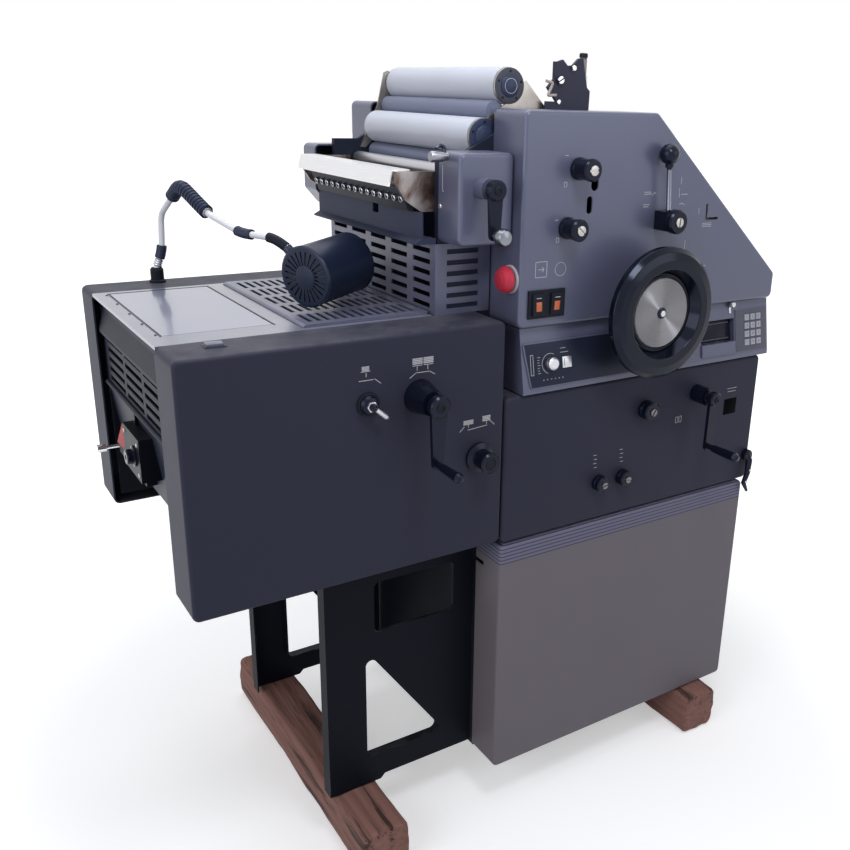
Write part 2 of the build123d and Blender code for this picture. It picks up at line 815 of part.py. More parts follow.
lamp_route = [
    lamp_foot,
    lamp_foot + Vector(0, 0, 129),
    lamp_foot + Vector(36, -96, 201),
    lamp_foot + Vector(63, -170, 153),
    lamp_end + knuckle_out * 40,
    lamp_end,
]
lamp_bends = (48, 56, 60, 20)
lamp_path = FilletPolyline(*lamp_route, radius=lamp_bends)
lamp_tube = sweep(Plane(lamp_path @ 0, z_dir=lamp_path % 0) * Circle(lamp_tube_radius), path=lamp_path)
socket_profile = [(0, 0), (14, 0), (14, 26), (11, 30), (0, 30)]
collar_low = 66.0
lamp_socket = turned(socket_profile, Location(lamp_foot))
lamp_collar = hole(Location(lamp_foot), lamp_tube_radius + 3, collar_low, collar_low + 37)
pieces["lamp_arm"] = lamp_tube + lamp_socket + lamp_collar

# Handwheel, dished, with a plated disc in its well
wheel_place = front(*wheel)
wheel_back = -cover_depth - frame_thickness
disc_face = wheel_reach - disc_depth
disc_seat = disc_face - disc_sheet
wheel_profile = [
    (0, wheel_back),
    (wheel_shaft_radius, wheel_back),
    (wheel_shaft_radius, 12),
    (26, 12),
    (26, 46),
    (92, 50),
    (118, 57),
    (wheel_radius, 66),
    (wheel_radius, wheel_reach - 12),
    (wheel_radius - 9, wheel_reach - 3),
    (wheel_radius - 24, wheel_reach),
    (wheel_radius - 40, wheel_reach),
    (disc_radius + 8, disc_seat),
    (0, disc_seat),
]
handwheel = turned(wheel_profile, wheel_place)
rim_edges = handwheel.edges().filter_by(GeomType.CIRCLE).filter_by(lambda edge: edge.radius > wheel_radius - 42)
pieces["handwheel"] = fillet(rim_edges, 2.5)
disc_profile = [
    (0, disc_seat),
    (disc_radius, disc_seat),
    (disc_radius, disc_face - 1),
    (disc_radius - 1, disc_face),
    (0, disc_face),
]
pieces["handwheel_disc"] = turned(disc_profile, wheel_place)
wheel_bore = hole(wheel_place, wheel_shaft_radius + running_gap, wheel_back - 20, 20)
upper_cover -= wheel_bore
near_frame -= wheel_bore

# Slots in the upper cover: two for adjusting screws and an angled one
for slot_x, slot_z, width, height in ((158.5, main_top - 115, 17, 46), (148.5, main_top - 163, 13, 32)):
    upper_cover -= front(slot_x, slot_z) * extrude(SlotOverall(height, width, rotation=90), amount=2 * sheet, both=True)
angle_x = main_width - 228
angle_top = slope_height(angle_x) - 43
angle_slot = 5.0
angle_height = 31.5
angle_length = 36.0
upper_cover -= block(angle_x - 2.5, angle_x + 2.5, -1, sheet + 1, angle_top - angle_height, angle_top)
upper_cover -= block(
    angle_x - 2.5,
    angle_x - 2.5 + angle_length,
    -1,
    sheet + 1,
    angle_top - angle_height,
    angle_top - angle_height + angle_slot,
)


def knob(place, radius, reach, skirt=None):
    """Moulded knob with a ring round its front and its stem through the cover."""
    skirt = skirt or radius
    profile = [
        (0, -stem_length),
        (stem_radius, -stem_length),
        (stem_radius, knob_gap),
        (skirt, knob_gap),
        (skirt, knob_gap + 5),
        (radius - 1.5, knob_gap + 9),
        (radius - 1.5, reach - 9),
        (radius, reach - 8),
        (radius, reach - 3),
        (radius - 3, reach),
        (0, reach),
    ]
    return turned(profile, place)


def stem_hole(place, radius=stem_radius):
    return hole(place, radius + running_gap, -stem_length - 1, 60)


low_row = lower_bottom + 82
knobs = {
    "upper_knob": ((119.0, main_top - 98), 20.0, 44.0),
    "form_knob": ((99.0, main_top - 202), 20.0, 42.0),
    "centre_knob": ((main_width - 351, strip_bottom - 78), 20.0, 26.0),
    "lower_knob_left": ((214.0, low_row), 17.0, 22.0),
    "lower_knob_right": ((277.0, low_row), 17.0, 22.0),
    "delivery_knob": ((delivery_right - 54, delivery_bottom + 189), 20.0, 44.0),
}
delivery_knob_skirt = 28.0
for name, (centre, radius, reach) in knobs.items():
    place = front(*centre)
    if name == "delivery_knob":
        pieces[name] = knob(place, radius, reach, delivery_knob_skirt)
        delivery_cover -= stem_hole(place)
    elif centre[1] > upper_bottom:
        pieces[name] = knob(place, radius, reach)
        upper_cover -= stem_hole(place)
    else:
        pieces[name] = knob(place, radius, reach)
        lower_cover -= stem_hole(place)

speed_place = strip_place * Pos(75, 46, panel_sheet)
pieces["speed_knob"] = knob(speed_place, 12.0, 16.0)
control_strip -= stem_hole(speed_place)

# Lever with a ball, on a round hub over a square block
lever = (main_width - 352, main_top - 196)
lever_lean = 5.3
lever_ball = 124.0
lever_ball_radius = 19.0
lever_reach = 52.0
lever_place = front(*lever)
hub_profile = [
    (0, -stem_length),
    (crank_stem_radius, -stem_length),
    (crank_stem_radius, 20),
    (23, 36),
    (23, lever_reach - 3),
    (20, lever_reach),
    (0, lever_reach),
]
lever_block = lever_place * Pos(0, 0, 19) * Box(36, 36, 34)
rod_base = lever_place * Pos(0, 0, 22) * Rot(0, 0, lever_lean) * Rot(-90, 0, 0)
lever_rod = rod_base * Pos(0, 0, lever_ball / 2) * Cylinder(4.5, lever_ball)
lever_top = rod_base * Pos(0, 0, lever_ball) * Sphere(lever_ball_radius)
lever_neck = rod_base * Pos(0, 0, lever_ball - lever_ball_radius) * Cylinder(8, 10)
pieces["control_lever"] = turned(hub_profile, lever_place) + lever_block + lever_rod + lever_top + lever_neck
upper_cover -= stem_hole(lever_place, crank_stem_radius)


def crank(place, reach, arm, lean, handle, handle_radius, hub_radius):
    """Crank with a stem, a hub, a tapered flat arm and a turned handle that points at the user."""
    thickness = 8.0
    tip_radius = 10.0
    hub = [
        (0, -stem_length),
        (crank_stem_radius, -stem_length),
        (crank_stem_radius, reach - thickness),
        (hub_radius, reach - thickness),
        (hub_radius, reach + 3),
        (hub_radius - 3, reach + 6),
        (0, reach + 6),
    ]
    body = turned(hub, place)
    arm_place = place * Pos(0, 0, reach - thickness) * Rot(0, 0, lean)
    tip = Pos(0, -arm) * Circle(tip_radius)
    arm_face = make_hull(Circle(hub_radius - 4).edges() + tip.edges())
    body += arm_place * extrude(arm_face, amount=thickness)
    grip = [
        (0, 0),
        (6, 0),
        (6, 12),
        (handle_radius * 0.8, 14),
        (handle_radius, handle - handle_radius),
        (handle_radius * 0.7, handle - handle_radius * 0.25),
        (0, handle),
    ]
    return body + turned(grip, arm_place * Pos(0, -arm, thickness))


delivery_crank_at = front(delivery_right - 178, delivery_bottom + 325)
pieces["delivery_crank"] = crank(delivery_crank_at, 70.0, 104.0, -1.0, 76.0, 9.0, 20.0)
crank_cone = delivery_crank_at * Pos(0, 0, 25) * Cone(30, 21, 50)
delivery_cover += crank_cone
delivery_cover -= hole(delivery_crank_at, crank_stem_radius + running_gap, -30, 60)
feeder_crank_at = front(main_width - 206, strip_bottom - 64)
pieces["feeder_crank"] = crank(feeder_crank_at, 56.0, 105.0, -2.0, 84.0, 10.0, 16.0)
lower_cover += hole(feeder_crank_at, 18, 0, 36)
lower_cover -= hole(feeder_crank_at, crank_stem_radius + running_gap, -30, 60)
head_crank_at = front(-68, head_cover_top - 58, head_cover_near)
pieces["head_crank"] = crank(head_crank_at, 46.0, 75.0, 0.0, 34.0, 15.0, 18.0)
near_head += hole(head_crank_at, 18, 0, 26)
near_head -= hole(head_crank_at, crank_stem_radius + running_gap, -30, 60)

# Toggle with a bat that points down to the right
toggle_place = front(delivery_right - 277, delivery_bottom + 326)
toggle_lean = -130.0
toggle_profile = [
    (0, -stem_length),
    (5, -stem_length),
    (5, 1),
    (17, 1),
    (17, 9),
    (14, 14),
    (7, 16),
    (7, 24),
    (0, 27),
]
bat_place = toggle_place * Pos(0, 0, 20) * Rot(0, 0, toggle_lean) * Rot(-90, 0, 0)
bat = bat_place * Pos(0, 0, 17) * Cone(3, 5, 34)
pieces["delivery_toggle"] = turned(toggle_profile, toggle_place) + bat
delivery_cover -= stem_hole(toggle_place, 5)

# Emergency stop on the left flange of the upper cover
stop_radius = 24.0
estop_place = Location((0, 30, upper_bottom + 88), (0, -90, 0))
estop_profile = [(0, -14), (8, -14), (8, 8), (stop_radius, 8), (stop_radius, 16), (18, 24), (9, 27), (0, 27.5)]
pieces["stop_button"] = turned(estop_profile, estop_place)
upper_cover -= hole(estop_place, 8 + running_gap, -15, 5)

pieces["main_side_frames"] = near_frame + far_frame
pieces["main_upper_cover"] = upper_cover
pieces["main_lower_cover"] = lower_cover
pieces["control_strip"] = control_strip
pieces["delivery_near_cover"] = delivery_cover
pieces["head_near_cover"] = near_head

# The whole part stands on z = 0, centred on x = 0 and y = 0
boxes = [piece.bounding_box() for piece in pieces.values()]
low = Vector(min(box.min.X for box in boxes), min(box.min.Y for box in boxes), min(box.min.Z for box in boxes))
high = Vector(max(box.max.X for box in boxes), max(box.max.Y for box in boxes), max(box.max.Z for box in boxes))
origin = Vector((low.X + high.X) / 2, (low.Y + high.Y) / 2, low.Z)

if __name__ == "__main__":
    os.makedirs("parts", exist_ok=True)
    for name, piece in pieces.items():
        export_step(Pos(-origin.X, -origin.Y, -origin.Z) * piece, "parts/" + name + ".step")
    print("origin", origin, "size", high - low)
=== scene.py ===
from math import asin, cos, pi, radians, sin

import bmesh
import bpy
from mathutils import Matrix, Vector, noise


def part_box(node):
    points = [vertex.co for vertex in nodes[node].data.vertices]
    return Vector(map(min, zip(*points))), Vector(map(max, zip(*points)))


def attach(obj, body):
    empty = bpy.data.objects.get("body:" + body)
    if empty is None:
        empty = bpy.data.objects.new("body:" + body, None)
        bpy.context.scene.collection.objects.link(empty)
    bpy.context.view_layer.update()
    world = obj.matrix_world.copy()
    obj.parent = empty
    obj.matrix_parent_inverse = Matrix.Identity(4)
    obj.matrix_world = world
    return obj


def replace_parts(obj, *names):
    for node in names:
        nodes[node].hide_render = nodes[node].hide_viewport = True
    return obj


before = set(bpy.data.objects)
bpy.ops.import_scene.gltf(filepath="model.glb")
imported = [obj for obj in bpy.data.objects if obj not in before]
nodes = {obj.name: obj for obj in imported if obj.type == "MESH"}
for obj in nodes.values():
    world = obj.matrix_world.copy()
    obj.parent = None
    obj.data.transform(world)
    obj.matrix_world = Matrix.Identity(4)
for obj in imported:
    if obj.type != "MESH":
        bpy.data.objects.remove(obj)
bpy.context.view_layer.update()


# Floor, light and camera
# A pale floor under soft lamps and a bright surround, seen from where the photograph was taken. From
# here on, sizes are in millimetres from the upper cover's left edge, its near face and the timbers' top.
upper_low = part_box("main_upper_cover")[0]
timber_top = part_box("timber_skid_left")[1].z
to_frame = Matrix.Translation((upper_low.x, upper_low.y, timber_top)) @ Matrix.Scale(0.001, 4)


def add(tree, kind, inputs=None, **settings):
    """Adds a node. Inputs map a socket's name or number to a value, or to the socket that feeds it."""
    node = tree.nodes.new("ShaderNode" + kind)
    for name, value in settings.items():
        setattr(node, name, value)
    for key, value in (inputs or {}).items():
        if isinstance(value, bpy.types.NodeSocket):
            tree.links.new(value, node.inputs[key])
        else:
            node.inputs[key].default_value = value
    return node


def calc(tree, operation, *values):
    """Result of a Math node."""
    return add(tree, "Math", dict(enumerate(values)), operation=operation).outputs[0]


def remap(tree, value, low=0.0, high=1.0, to_low=0.0, to_high=1.0):
    """Maps one range of a value to another."""
    ends = {"From Min": low, "From Max": high, "To Min": to_low, "To Max": to_high}
    return add(tree, "MapRange", {"Value": value, **ends}).outputs[0]


def soft_light(name, place, target, size, power):
    """Square lamp that faces a point."""
    data = bpy.data.lights.new(name, "AREA")
    data.size = size
    data.energy = power
    data.color = (0.93, 0.95, 1.0)
    lamp = bpy.data.objects.new(name, data)
    bpy.context.scene.collection.objects.link(lamp)
    lamp.location = to_frame @ Vector(place)
    aim = to_frame @ Vector(target) - lamp.location
    lamp.rotation_euler = aim.to_track_quat("-Z", "Y").to_euler()


soft_light("light_key", (-150, -800, 2150), (60, 0, 1250), 0.45, 10)
soft_light("light_front", (1500, -2300, 1900), (250, 0, 900), 1.6, 14)
soft_light("light_left", (-2600, -700, 1700), (-100, 100, 1100), 1.8, 30)
soft_light("light_top", (-100, 700, 3300), (0, 300, 900), 2.4, 44)


def seen_directly(tree):
    """Mask of camera, mirror and see-through rays."""
    path = add(tree, "LightPath")
    mask = calc(tree, "MAXIMUM", path.outputs["Is Camera Ray"], path.outputs["Is Glossy Ray"])
    return calc(tree, "MAXIMUM", mask, path.outputs["Is Transmission Ray"])


room_glow = 0.3
world = bpy.data.worlds.new("surround")
bpy.context.scene.world = world
world.use_nodes = True
surround = world.node_tree
surround.nodes.clear()
strength = remap(surround, seen_directly(surround), to_low=room_glow)
glow = add(surround, "Background", {"Color": (1, 1, 1, 1), "Strength": strength})
add(surround, "OutputWorld", {"Surface": glow.outputs[0]})

floor_size = 30.0
near_glow, far_glow = 0.42, 1.0
glow_start, glow_end = 0.9, 2.6
floor_mesh = bpy.data.meshes.new("floor")
corners = [(x * floor_size, y * floor_size, 0) for x, y in ((-1, -1), (1, -1), (1, 1), (-1, 1))]
floor_mesh.from_pydata(corners, [], [(0, 1, 2, 3)])
floor = bpy.data.objects.new("floor", floor_mesh)
bpy.context.scene.collection.objects.link(floor)
floor_look = bpy.data.materials.new("floor")
floor_look.use_nodes = True
tree = floor_look.node_tree
skin = tree.nodes["Principled BSDF"]
skin.inputs["Base Color"].default_value = (0.8, 0.8, 0.81, 1)
skin.inputs["Roughness"].default_value = 0.95
skin.inputs["Specular IOR Level"].default_value = 0.1
skin.inputs["Emission Color"].default_value = (1, 1, 1, 1)
place = add(tree, "TexCoord").outputs["Object"]
away = add(tree, "VectorMath", {0: place}, operation="LENGTH").outputs["Value"]
lift = remap(tree, away, glow_start, glow_end, near_glow, far_glow)
tree.links.new(calc(tree, "MULTIPLY", lift, seen_directly(tree)), skin.inputs["Emission Strength"])
floor_mesh.materials.append(floor_look)

camera_place = (-957.4, -1359.9, 1359.5)
camera_azimuth = radians(34.82)
camera_drop = radians(18.91)
camera_roll = radians(2.0)
camera_data = bpy.data.cameras.new("camera")
camera_data.sensor_width = 36
camera_data.lens = 39.71
camera_data.shift_x = -0.1002
camera_data.shift_y = -0.0101
camera = bpy.data.objects.new("camera", camera_data)
bpy.context.scene.collection.objects.link(camera)
bpy.context.scene.camera = camera
turn = Matrix.Rotation(-camera_azimuth, 4, "Z") @ Matrix.Rotation(pi / 2 - camera_drop, 4, "X")
turn = turn @ Matrix.Rotation(camera_roll, 4, "Z")
camera.matrix_world = Matrix.Translation(to_frame @ Vector(camera_place)) @ turn
bpy.context.scene.view_settings.view_transform = "Standard"


# Timbers
# Two rough-sawn hardwood beams that the machine was left standing on. They are red-brown, stained
# by oil, split at the ends and worn round along their edges.
def group(name, inputs, outputs):
    """Empty shader group with float inputs of given defaults and named outputs."""
    tree = bpy.data.node_groups.new(name, "ShaderNodeTree")
    for label, value in inputs.items():
        socket = tree.interface.new_socket(label, in_out="INPUT", socket_type="NodeSocketFloat")
        socket.default_value = value
    for label, kind in outputs.items():
        tree.interface.new_socket(label, in_out="OUTPUT", socket_type="NodeSocket" + kind)
    return tree, tree.nodes.new("NodeGroupInput"), tree.nodes.new("NodeGroupOutput")


def use(material, tree, **values):
    """Places a shader group in a material with its own values."""
    node = material.node_tree.nodes.new("ShaderNodeGroup")
    node.node_tree = tree
    for key, value in values.items():
        node.inputs[key.replace("_", " ")].default_value = value
    return node


def new_material(name, slot):
    """Material with its node tree and its Principled shader. It knows the slot that it finishes."""
    material = bpy.data.materials.new(name)
    material["slot"] = slot
    material.use_nodes = True
    return material, material.node_tree, material.node_tree.nodes["Principled BSDF"]


def mix(tree, factor, first, second):
    """Colour mix; each of the two is a socket or a colour."""
    node = add(tree, "Mix", {0: factor, 6: first, 7: second}, data_type="RGBA")
    return node.outputs[2]


def tint(tree, skin, factor, first, second):
    """Gives a shader a colour that runs between two by a mask."""
    tree.links.new(mix(tree, factor, first, second), skin.inputs["Base Color"])


def speckle(tree, place, scale, detail, roughness=0.5, distortion=0.0):
    """Noise over a place."""
    values = {"Vector": place, "Scale": scale, "Detail": detail}
    values.update({"Roughness": roughness, "Distortion": distortion})
    return add(tree, "TexNoise", values).outputs["Fac"]


def dress(look, *names):
    """Gives CAD nodes a material."""
    for name in names:
        mesh = nodes[name].data
        mesh.materials.clear()
        mesh.materials.append(look)


def loft(shape, rings, closed=False):
    """Joins rings of points with faces. A ring of one point is a tip. Open ends are covered."""
    rings = [[shape.verts.new(point) for point in ring] for ring in rings]
    steps = max(len(ring) for ring in rings)
    ends = [] if closed else [rings[0], rings[-1]]
    for first, second in zip(rings, rings[1:] + (rings[:1] if closed else [])):
        for k in range(steps):
            n = (k + 1) % steps
            near = (first[k % len(first)], first[n % len(first)])
            far = (second[n % len(second)], second[k % len(second)])
            shape.faces.new(tuple(dict.fromkeys(near + far)))
    for ring in ends:
        if len(ring) > 2:
            shape.faces.new(ring)


def piece(name, shape, look, body="press", smooth=35):
    """Makes an object of a shape in millimetres and lets it ride on a body."""
    bmesh.ops.recalc_face_normals(shape, faces=shape.faces)
    shape.transform(to_frame)
    mesh = bpy.data.meshes.new(name)
    shape.to_mesh(mesh)
    shape.free()
    mesh.shade_smooth()
    mesh.set_sharp_from_angle(angle=radians(smooth))
    mesh.materials.append(look)
    thing = bpy.data.objects.new(name, mesh)
    bpy.context.scene.collection.objects.link(thing)
    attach(thing, body)
    return thing


wood_grain, _, out = group("wood grain", {}, {"Grain": "Float", "Crack": "Float"})
place = add(wood_grain, "TexCoord").outputs["Object"]
long_grain = add(wood_grain, "Mapping", {"Vector": place, "Scale": (1, 0.06, 1)}).outputs[0]
wood_grain.links.new(speckle(wood_grain, long_grain, 90, 8, distortion=0.6), out.inputs["Grain"])
splits = speckle(wood_grain, long_grain, 28, 5, 0.7)
wood_grain.links.new(remap(wood_grain, splits, 0.56, 0.62), out.inputs["Crack"])

timber_look, tree, skin = new_material("old timber", "timber")
grain = use(timber_look, wood_grain)
pale = mix(tree, grain.outputs["Grain"], (0.085, 0.032, 0.022, 1), (0.34, 0.17, 0.14, 1))
tint(tree, skin, grain.outputs["Crack"], pale, (0.03, 0.012, 0.009, 1))
skin.inputs["Roughness"].default_value = 0.85
bump = add(tree, "Bump", {"Height": grain.outputs["Grain"], "Strength": 0.6, "Distance": 0.004})
tree.links.new(bump.outputs[0], skin.inputs["Normal"])

frame_to_mm = to_frame.inverted()
timber_rings = 90
timber_steps = 64
timber_squareness = 9
timber_wear = 7.0
corner_wear = 2.2
end_wear = 3
end_scale = 0.06
saw_across, saw_along = 0.03, 0.006
for name in ("timber_skid_left", "timber_skid_right"):
    low, high = (frame_to_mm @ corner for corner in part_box(name))
    middle = (low + high) / 2
    half = (high - low) / 2
    rings = []
    for k in range(timber_rings + 1):
        y = low.y + (high.y - low.y) * k / timber_rings
        ring = []
        for step in range(timber_steps):
            angle = 2 * pi * (step + 0.5) / timber_steps
            across, up = cos(angle), sin(angle)
            rounded = abs(across) ** timber_squareness + abs(up) ** timber_squareness
            reach = 1 / rounded ** (1 / timber_squareness)
            point = Vector((middle.x + half.x * across * reach, y, middle.z + half.z * up * reach))
            rough_at = Vector((point.x * saw_across, point.y * saw_along, point.z * saw_across))
            rough = noise.fractal(rough_at, 1, 2, 4)
            inward = timber_wear * (0.5 + 0.5 * rough) * min(1, abs(across * up) * corner_wear)
            if k in (0, timber_rings):
                inward += end_wear
            point.x -= inward * across
            point.z -= inward * up
            if k in (0, timber_rings):
                point.y += (2 + 3 * noise.noise(point * end_scale)) * (1 if k == 0 else -1)
            ring.append(point)
        rings.append(ring)
    shape = bmesh.new()
    loft(shape, rings)
    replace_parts(piece("rough_" + name, shape, timber_look, smooth=50), name)


# Stand
# Near and far frames of black painted sheet steel. The paint is satin, with a fine skin, dust on
# what faces up and bright metal at the most knocked edges.
paint_skin, into, out = group("paint skin", {"Size": 900.0}, {"Height": "Float", "Cloud": "Float"})
place = add(paint_skin, "TexCoord").outputs["Object"]
paint_skin.links.new(speckle(paint_skin, place, into.outputs["Size"], 2), out.inputs["Height"])
paint_skin.links.new(speckle(paint_skin, place, 4, 5, 0.6), out.inputs["Cloud"])

worn_edge, into, out = group("worn edge", {"Width": 0.0015, "Amount": 0.5}, {"Mask": "Float"})
facing = add(worn_edge, "NewGeometry").outputs["Normal"]
rounded = add(worn_edge, "Bevel", {"Radius": into.outputs["Width"]}, samples=4).outputs["Normal"]
facing = add(worn_edge, "VectorMath", {0: facing, 1: rounded}, operation="DOT_PRODUCT").outputs["Value"]
edge = remap(worn_edge, facing, 0.97, 0.8)
place = add(worn_edge, "TexCoord").outputs["Object"]
broken = calc(worn_edge, "ADD", speckle(worn_edge, place, 30, 6, 0.7), into.outputs["Amount"])
broken = remap(worn_edge, broken, 0.95, 1.1)
worn_edge.links.new(calc(worn_edge, "MULTIPLY", edge, broken), out.inputs["Mask"])

settled_dust, into, out = group("settled dust", {"Amount": 0.3}, {"Mask": "Float"})
facing = add(settled_dust, "NewGeometry").outputs["Normal"]
up = add(settled_dust, "SeparateXYZ", {0: facing}).outputs["Z"]
place = add(settled_dust, "TexCoord").outputs["Object"]
drift = remap(settled_dust, speckle(settled_dust, place, 14, 8, 0.75), 0.35, 0.75)
dust = calc(settled_dust, "MULTIPLY", remap(settled_dust, up, 0.5, 1.0), drift)
dust = calc(settled_dust, "MULTIPLY", dust, into.outputs["Amount"])
settled_dust.links.new(dust, out.inputs["Mask"])


def roughen(tree, skin, film, low, high):
    """Lets the roughness wander between two values."""
    tree.links.new(remap(tree, film.outputs["Cloud"], to_low=low, to_high=high), skin.inputs["Roughness"])


# Blue tint on the reflections of paint and plastic: painted reflection colour, standing in for bluish room
# light.
painted_blue_reflection = (0.7, 0.76, 1, 1)
dust_grey = (0.3, 0.3, 0.31, 1)
worn_grey = (0.3, 0.3, 0.32, 1)
deep_tone = 0.86


def painted(name, slot, colour, roughness, wear=0.3, dusty=0.15, gloss=0.5, coat=0.0):
    """Sprayed paint on steel: fine skin, uneven tone, dust on top and metal at worn edges."""
    material, tree, skin = new_material(name, slot)
    film = use(material, paint_skin)
    bare = use(material, worn_edge, Amount=wear)
    dust = use(material, settled_dust, Amount=dusty)
    deep = tuple(value * deep_tone for value in colour)
    toned = mix(tree, film.outputs["Cloud"], (*deep, 1), (*colour, 1))
    dusted = mix(tree, dust.outputs["Mask"], toned, dust_grey)
    tint(tree, skin, bare.outputs["Mask"], dusted, worn_grey)
    tree.links.new(bare.outputs["Mask"], skin.inputs["Metallic"])
    roughen(tree, skin, film, roughness - 0.06, roughness + 0.06)
    skin.inputs["Specular IOR Level"].default_value = gloss
    skin.inputs["Specular Tint"].default_value = painted_blue_reflection
    skin.inputs["Coat Weight"].default_value = coat
    skin.inputs["Coat Roughness"].default_value = 0.25
    bump = add(tree, "Bump", {"Height": film.outputs["Height"], "Strength": 0.12, "Distance": 0.0004})
    tree.links.new(bump.outputs[0], skin.inputs["Normal"])
    return material


black_paint = painted("black frame paint", "frame_paint", (0.006, 0.007, 0.011), 0.5, wear=0.4, gloss=0.08)
dress(black_paint, "stand_near_frame", "stand_far_frame", "cabinet_body")


# Cabinet doors
# Folded steel doors hooked on the cabinet, sprayed warm light grey. Along the top runs a bluish band
# with five thin dark lines.
door_paint = painted(
    "door paint", "door_paint", (0.165, 0.146, 0.165), 0.5, wear=0.35, dusty=0.1, gloss=0.2
)
tree = door_paint.node_tree
skin = tree.nodes["Principled BSDF"]
stripe_top = 0.522 + timber_top
stripe_pitch = 0.0078
stripe_share = 0.26
stripe_count = 5.0
height = add(tree, "SeparateXYZ", {0: add(tree, "TexCoord").outputs["Object"]}).outputs["Z"]
down = calc(tree, "DIVIDE", calc(tree, "SUBTRACT", stripe_top, height), stripe_pitch)
dark = calc(tree, "GREATER_THAN", calc(tree, "FRACT", down), 1 - stripe_share)
inside = calc(tree, "LESS_THAN", down, stripe_count)
plain = skin.inputs["Base Color"].links[0].from_socket
banded = mix(tree, inside, plain, (0.15, 0.145, 0.21, 1))
tint(tree, skin, calc(tree, "MULTIPLY", dark, inside), banded, (0.035, 0.035, 0.06, 1))
dress(door_paint, "cabinet_door", "cabinet_far_door")


# Side frames, hood and chute
# Inner steelwork behind the covers: black side plates, a black hood over the press and the slotted
# chute that leads printed sheets down to the receiver.
frame_paint = painted("inner frame paint", "frame_paint", (0.016, 0.02, 0.034), 0.45, wear=0.35, gloss=0.15)
dress(frame_paint, "main_side_frames", "main_hood", "delivery_chute")


# Covers
# Deep trays folded from steel sheet with rounded edges, sprayed one blue-grey paint. The paint comes in
# lit and shaded copies: a lighter, glossier copy on the upper, head and far covers, grille and strip, and a
# still lighter one on the deck, are painted light; a darker, more matt copy on the lower and delivery
# covers is painted shade.
# Lighter, glossier copy of the cover paint: painted light.
lit_cover_paint = painted(
    "cover paint, painted light", "cover_paint", (0.088, 0.094, 0.15), 0.42, wear=0.12, dusty=0.25, gloss=0.4, coat=0.5
)
# Darker, more matt copy of the cover paint: painted shade.
shaded_cover_paint = painted(
    "cover paint, painted shade", "cover_paint", (0.03, 0.031, 0.049), 0.5, wear=0.12, dusty=0.2, gloss=0.12
)
# Still lighter copy for the deck, with a strong coat: painted light.
lit_deck_paint = painted("deck paint, painted light", "cover_paint", (0.13, 0.14, 0.2), 0.34, wear=0.1, dusty=0.3, coat=0.9)
# Darkest copy of the cover paint, for the end panel that faces the left lamp: painted shade.
shaded_end_paint = painted("end panel paint, painted shade", "cover_paint", (0.013, 0.015, 0.026), 0.5, gloss=0.12)
notch_paint = painted("notch plate paint", "cover_paint", (0.036, 0.042, 0.078), 0.5, gloss=0.12)
dress(
    lit_cover_paint, "main_upper_cover", "deck_grille", "head_near_cover", "head_far_cover", "head_vents",
    "main_far_cover", "control_strip",
)
dress(shaded_cover_paint, "main_lower_cover", "delivery_near_cover", "delivery_far_cover")
dress(lit_deck_paint, "delivery_deck")
dress(shaded_end_paint, "delivery_end_grille")
dress(notch_paint, "head_front_plate")


# White marks on the covers
# Thin printed lines beside the controls that show what each one does. They are printed in white
# on the near faces of the covers.
def front(x, z, y=0.0):
    """Place on a face that looks at the user. X stays, Y points up and Z towards the user."""
    return Matrix.Translation((x, y, z)) @ Matrix.Rotation(pi / 2, 4, "X")


def prism(shape, place, points, height, bevel=0.0, start=0.0):
    """Outline raised along the place's Z axis, with its top edges rounded."""
    low = [shape.verts.new(place @ Vector((*point, start))) for point in points]
    high = [shape.verts.new(place @ Vector((*point, start + height))) for point in points]
    shape.faces.new(low)
    top = shape.faces.new(high)
    for k in range(len(points)):
        n = (k + 1) % len(points)
        shape.faces.new((low[k], low[n], high[n], high[k]))
    if bevel:
        bmesh.ops.bevel(shape, geom=list(top.edges), offset=bevel, segments=2, affect="EDGES", profile=0.5)


def stroke(shape, place, points, width=1.0, height=0.15):
    """Printed line through points of a face."""
    for start, end in zip(points, points[1:]):
        start, end = Vector(start), Vector(end)
        along = (end - start).normalized() * width / 2
        side = Vector((-along.y, along.x))
        outline = (start - along + side, start - along - side, end + along - side, end + along + side)
        prism(shape, place, [tuple(corner) for corner in outline], height)


def corners_of(x0, x1, z0, z1):
    """Corners of a rectangle."""
    return [(x0, z0), (x1, z0), (x1, z1), (x0, z1)]


def frame_of(x0, x1, z0, z1):
    """Line round a rectangle."""
    return [*corners_of(x0, x1, z0, z1), (x0, z0)]


def arc(x, z, radius, start, end, steps=16):
    """Points along an arc, with its angles in degrees."""
    turns = [radians(start + (end - start) * k / steps) for k in range(steps + 1)]
    return [(x + radius * cos(a), z + radius * sin(a)) for a in turns]


white_print, tree, skin = new_material("white print", "key_plastic")
film = use(white_print, paint_skin, Size=500.0)
tint(tree, skin, film.outputs["Cloud"], (0.3, 0.3, 0.32, 1), (0.55, 0.55, 0.58, 1))
skin.inputs["Roughness"].default_value = 0.6

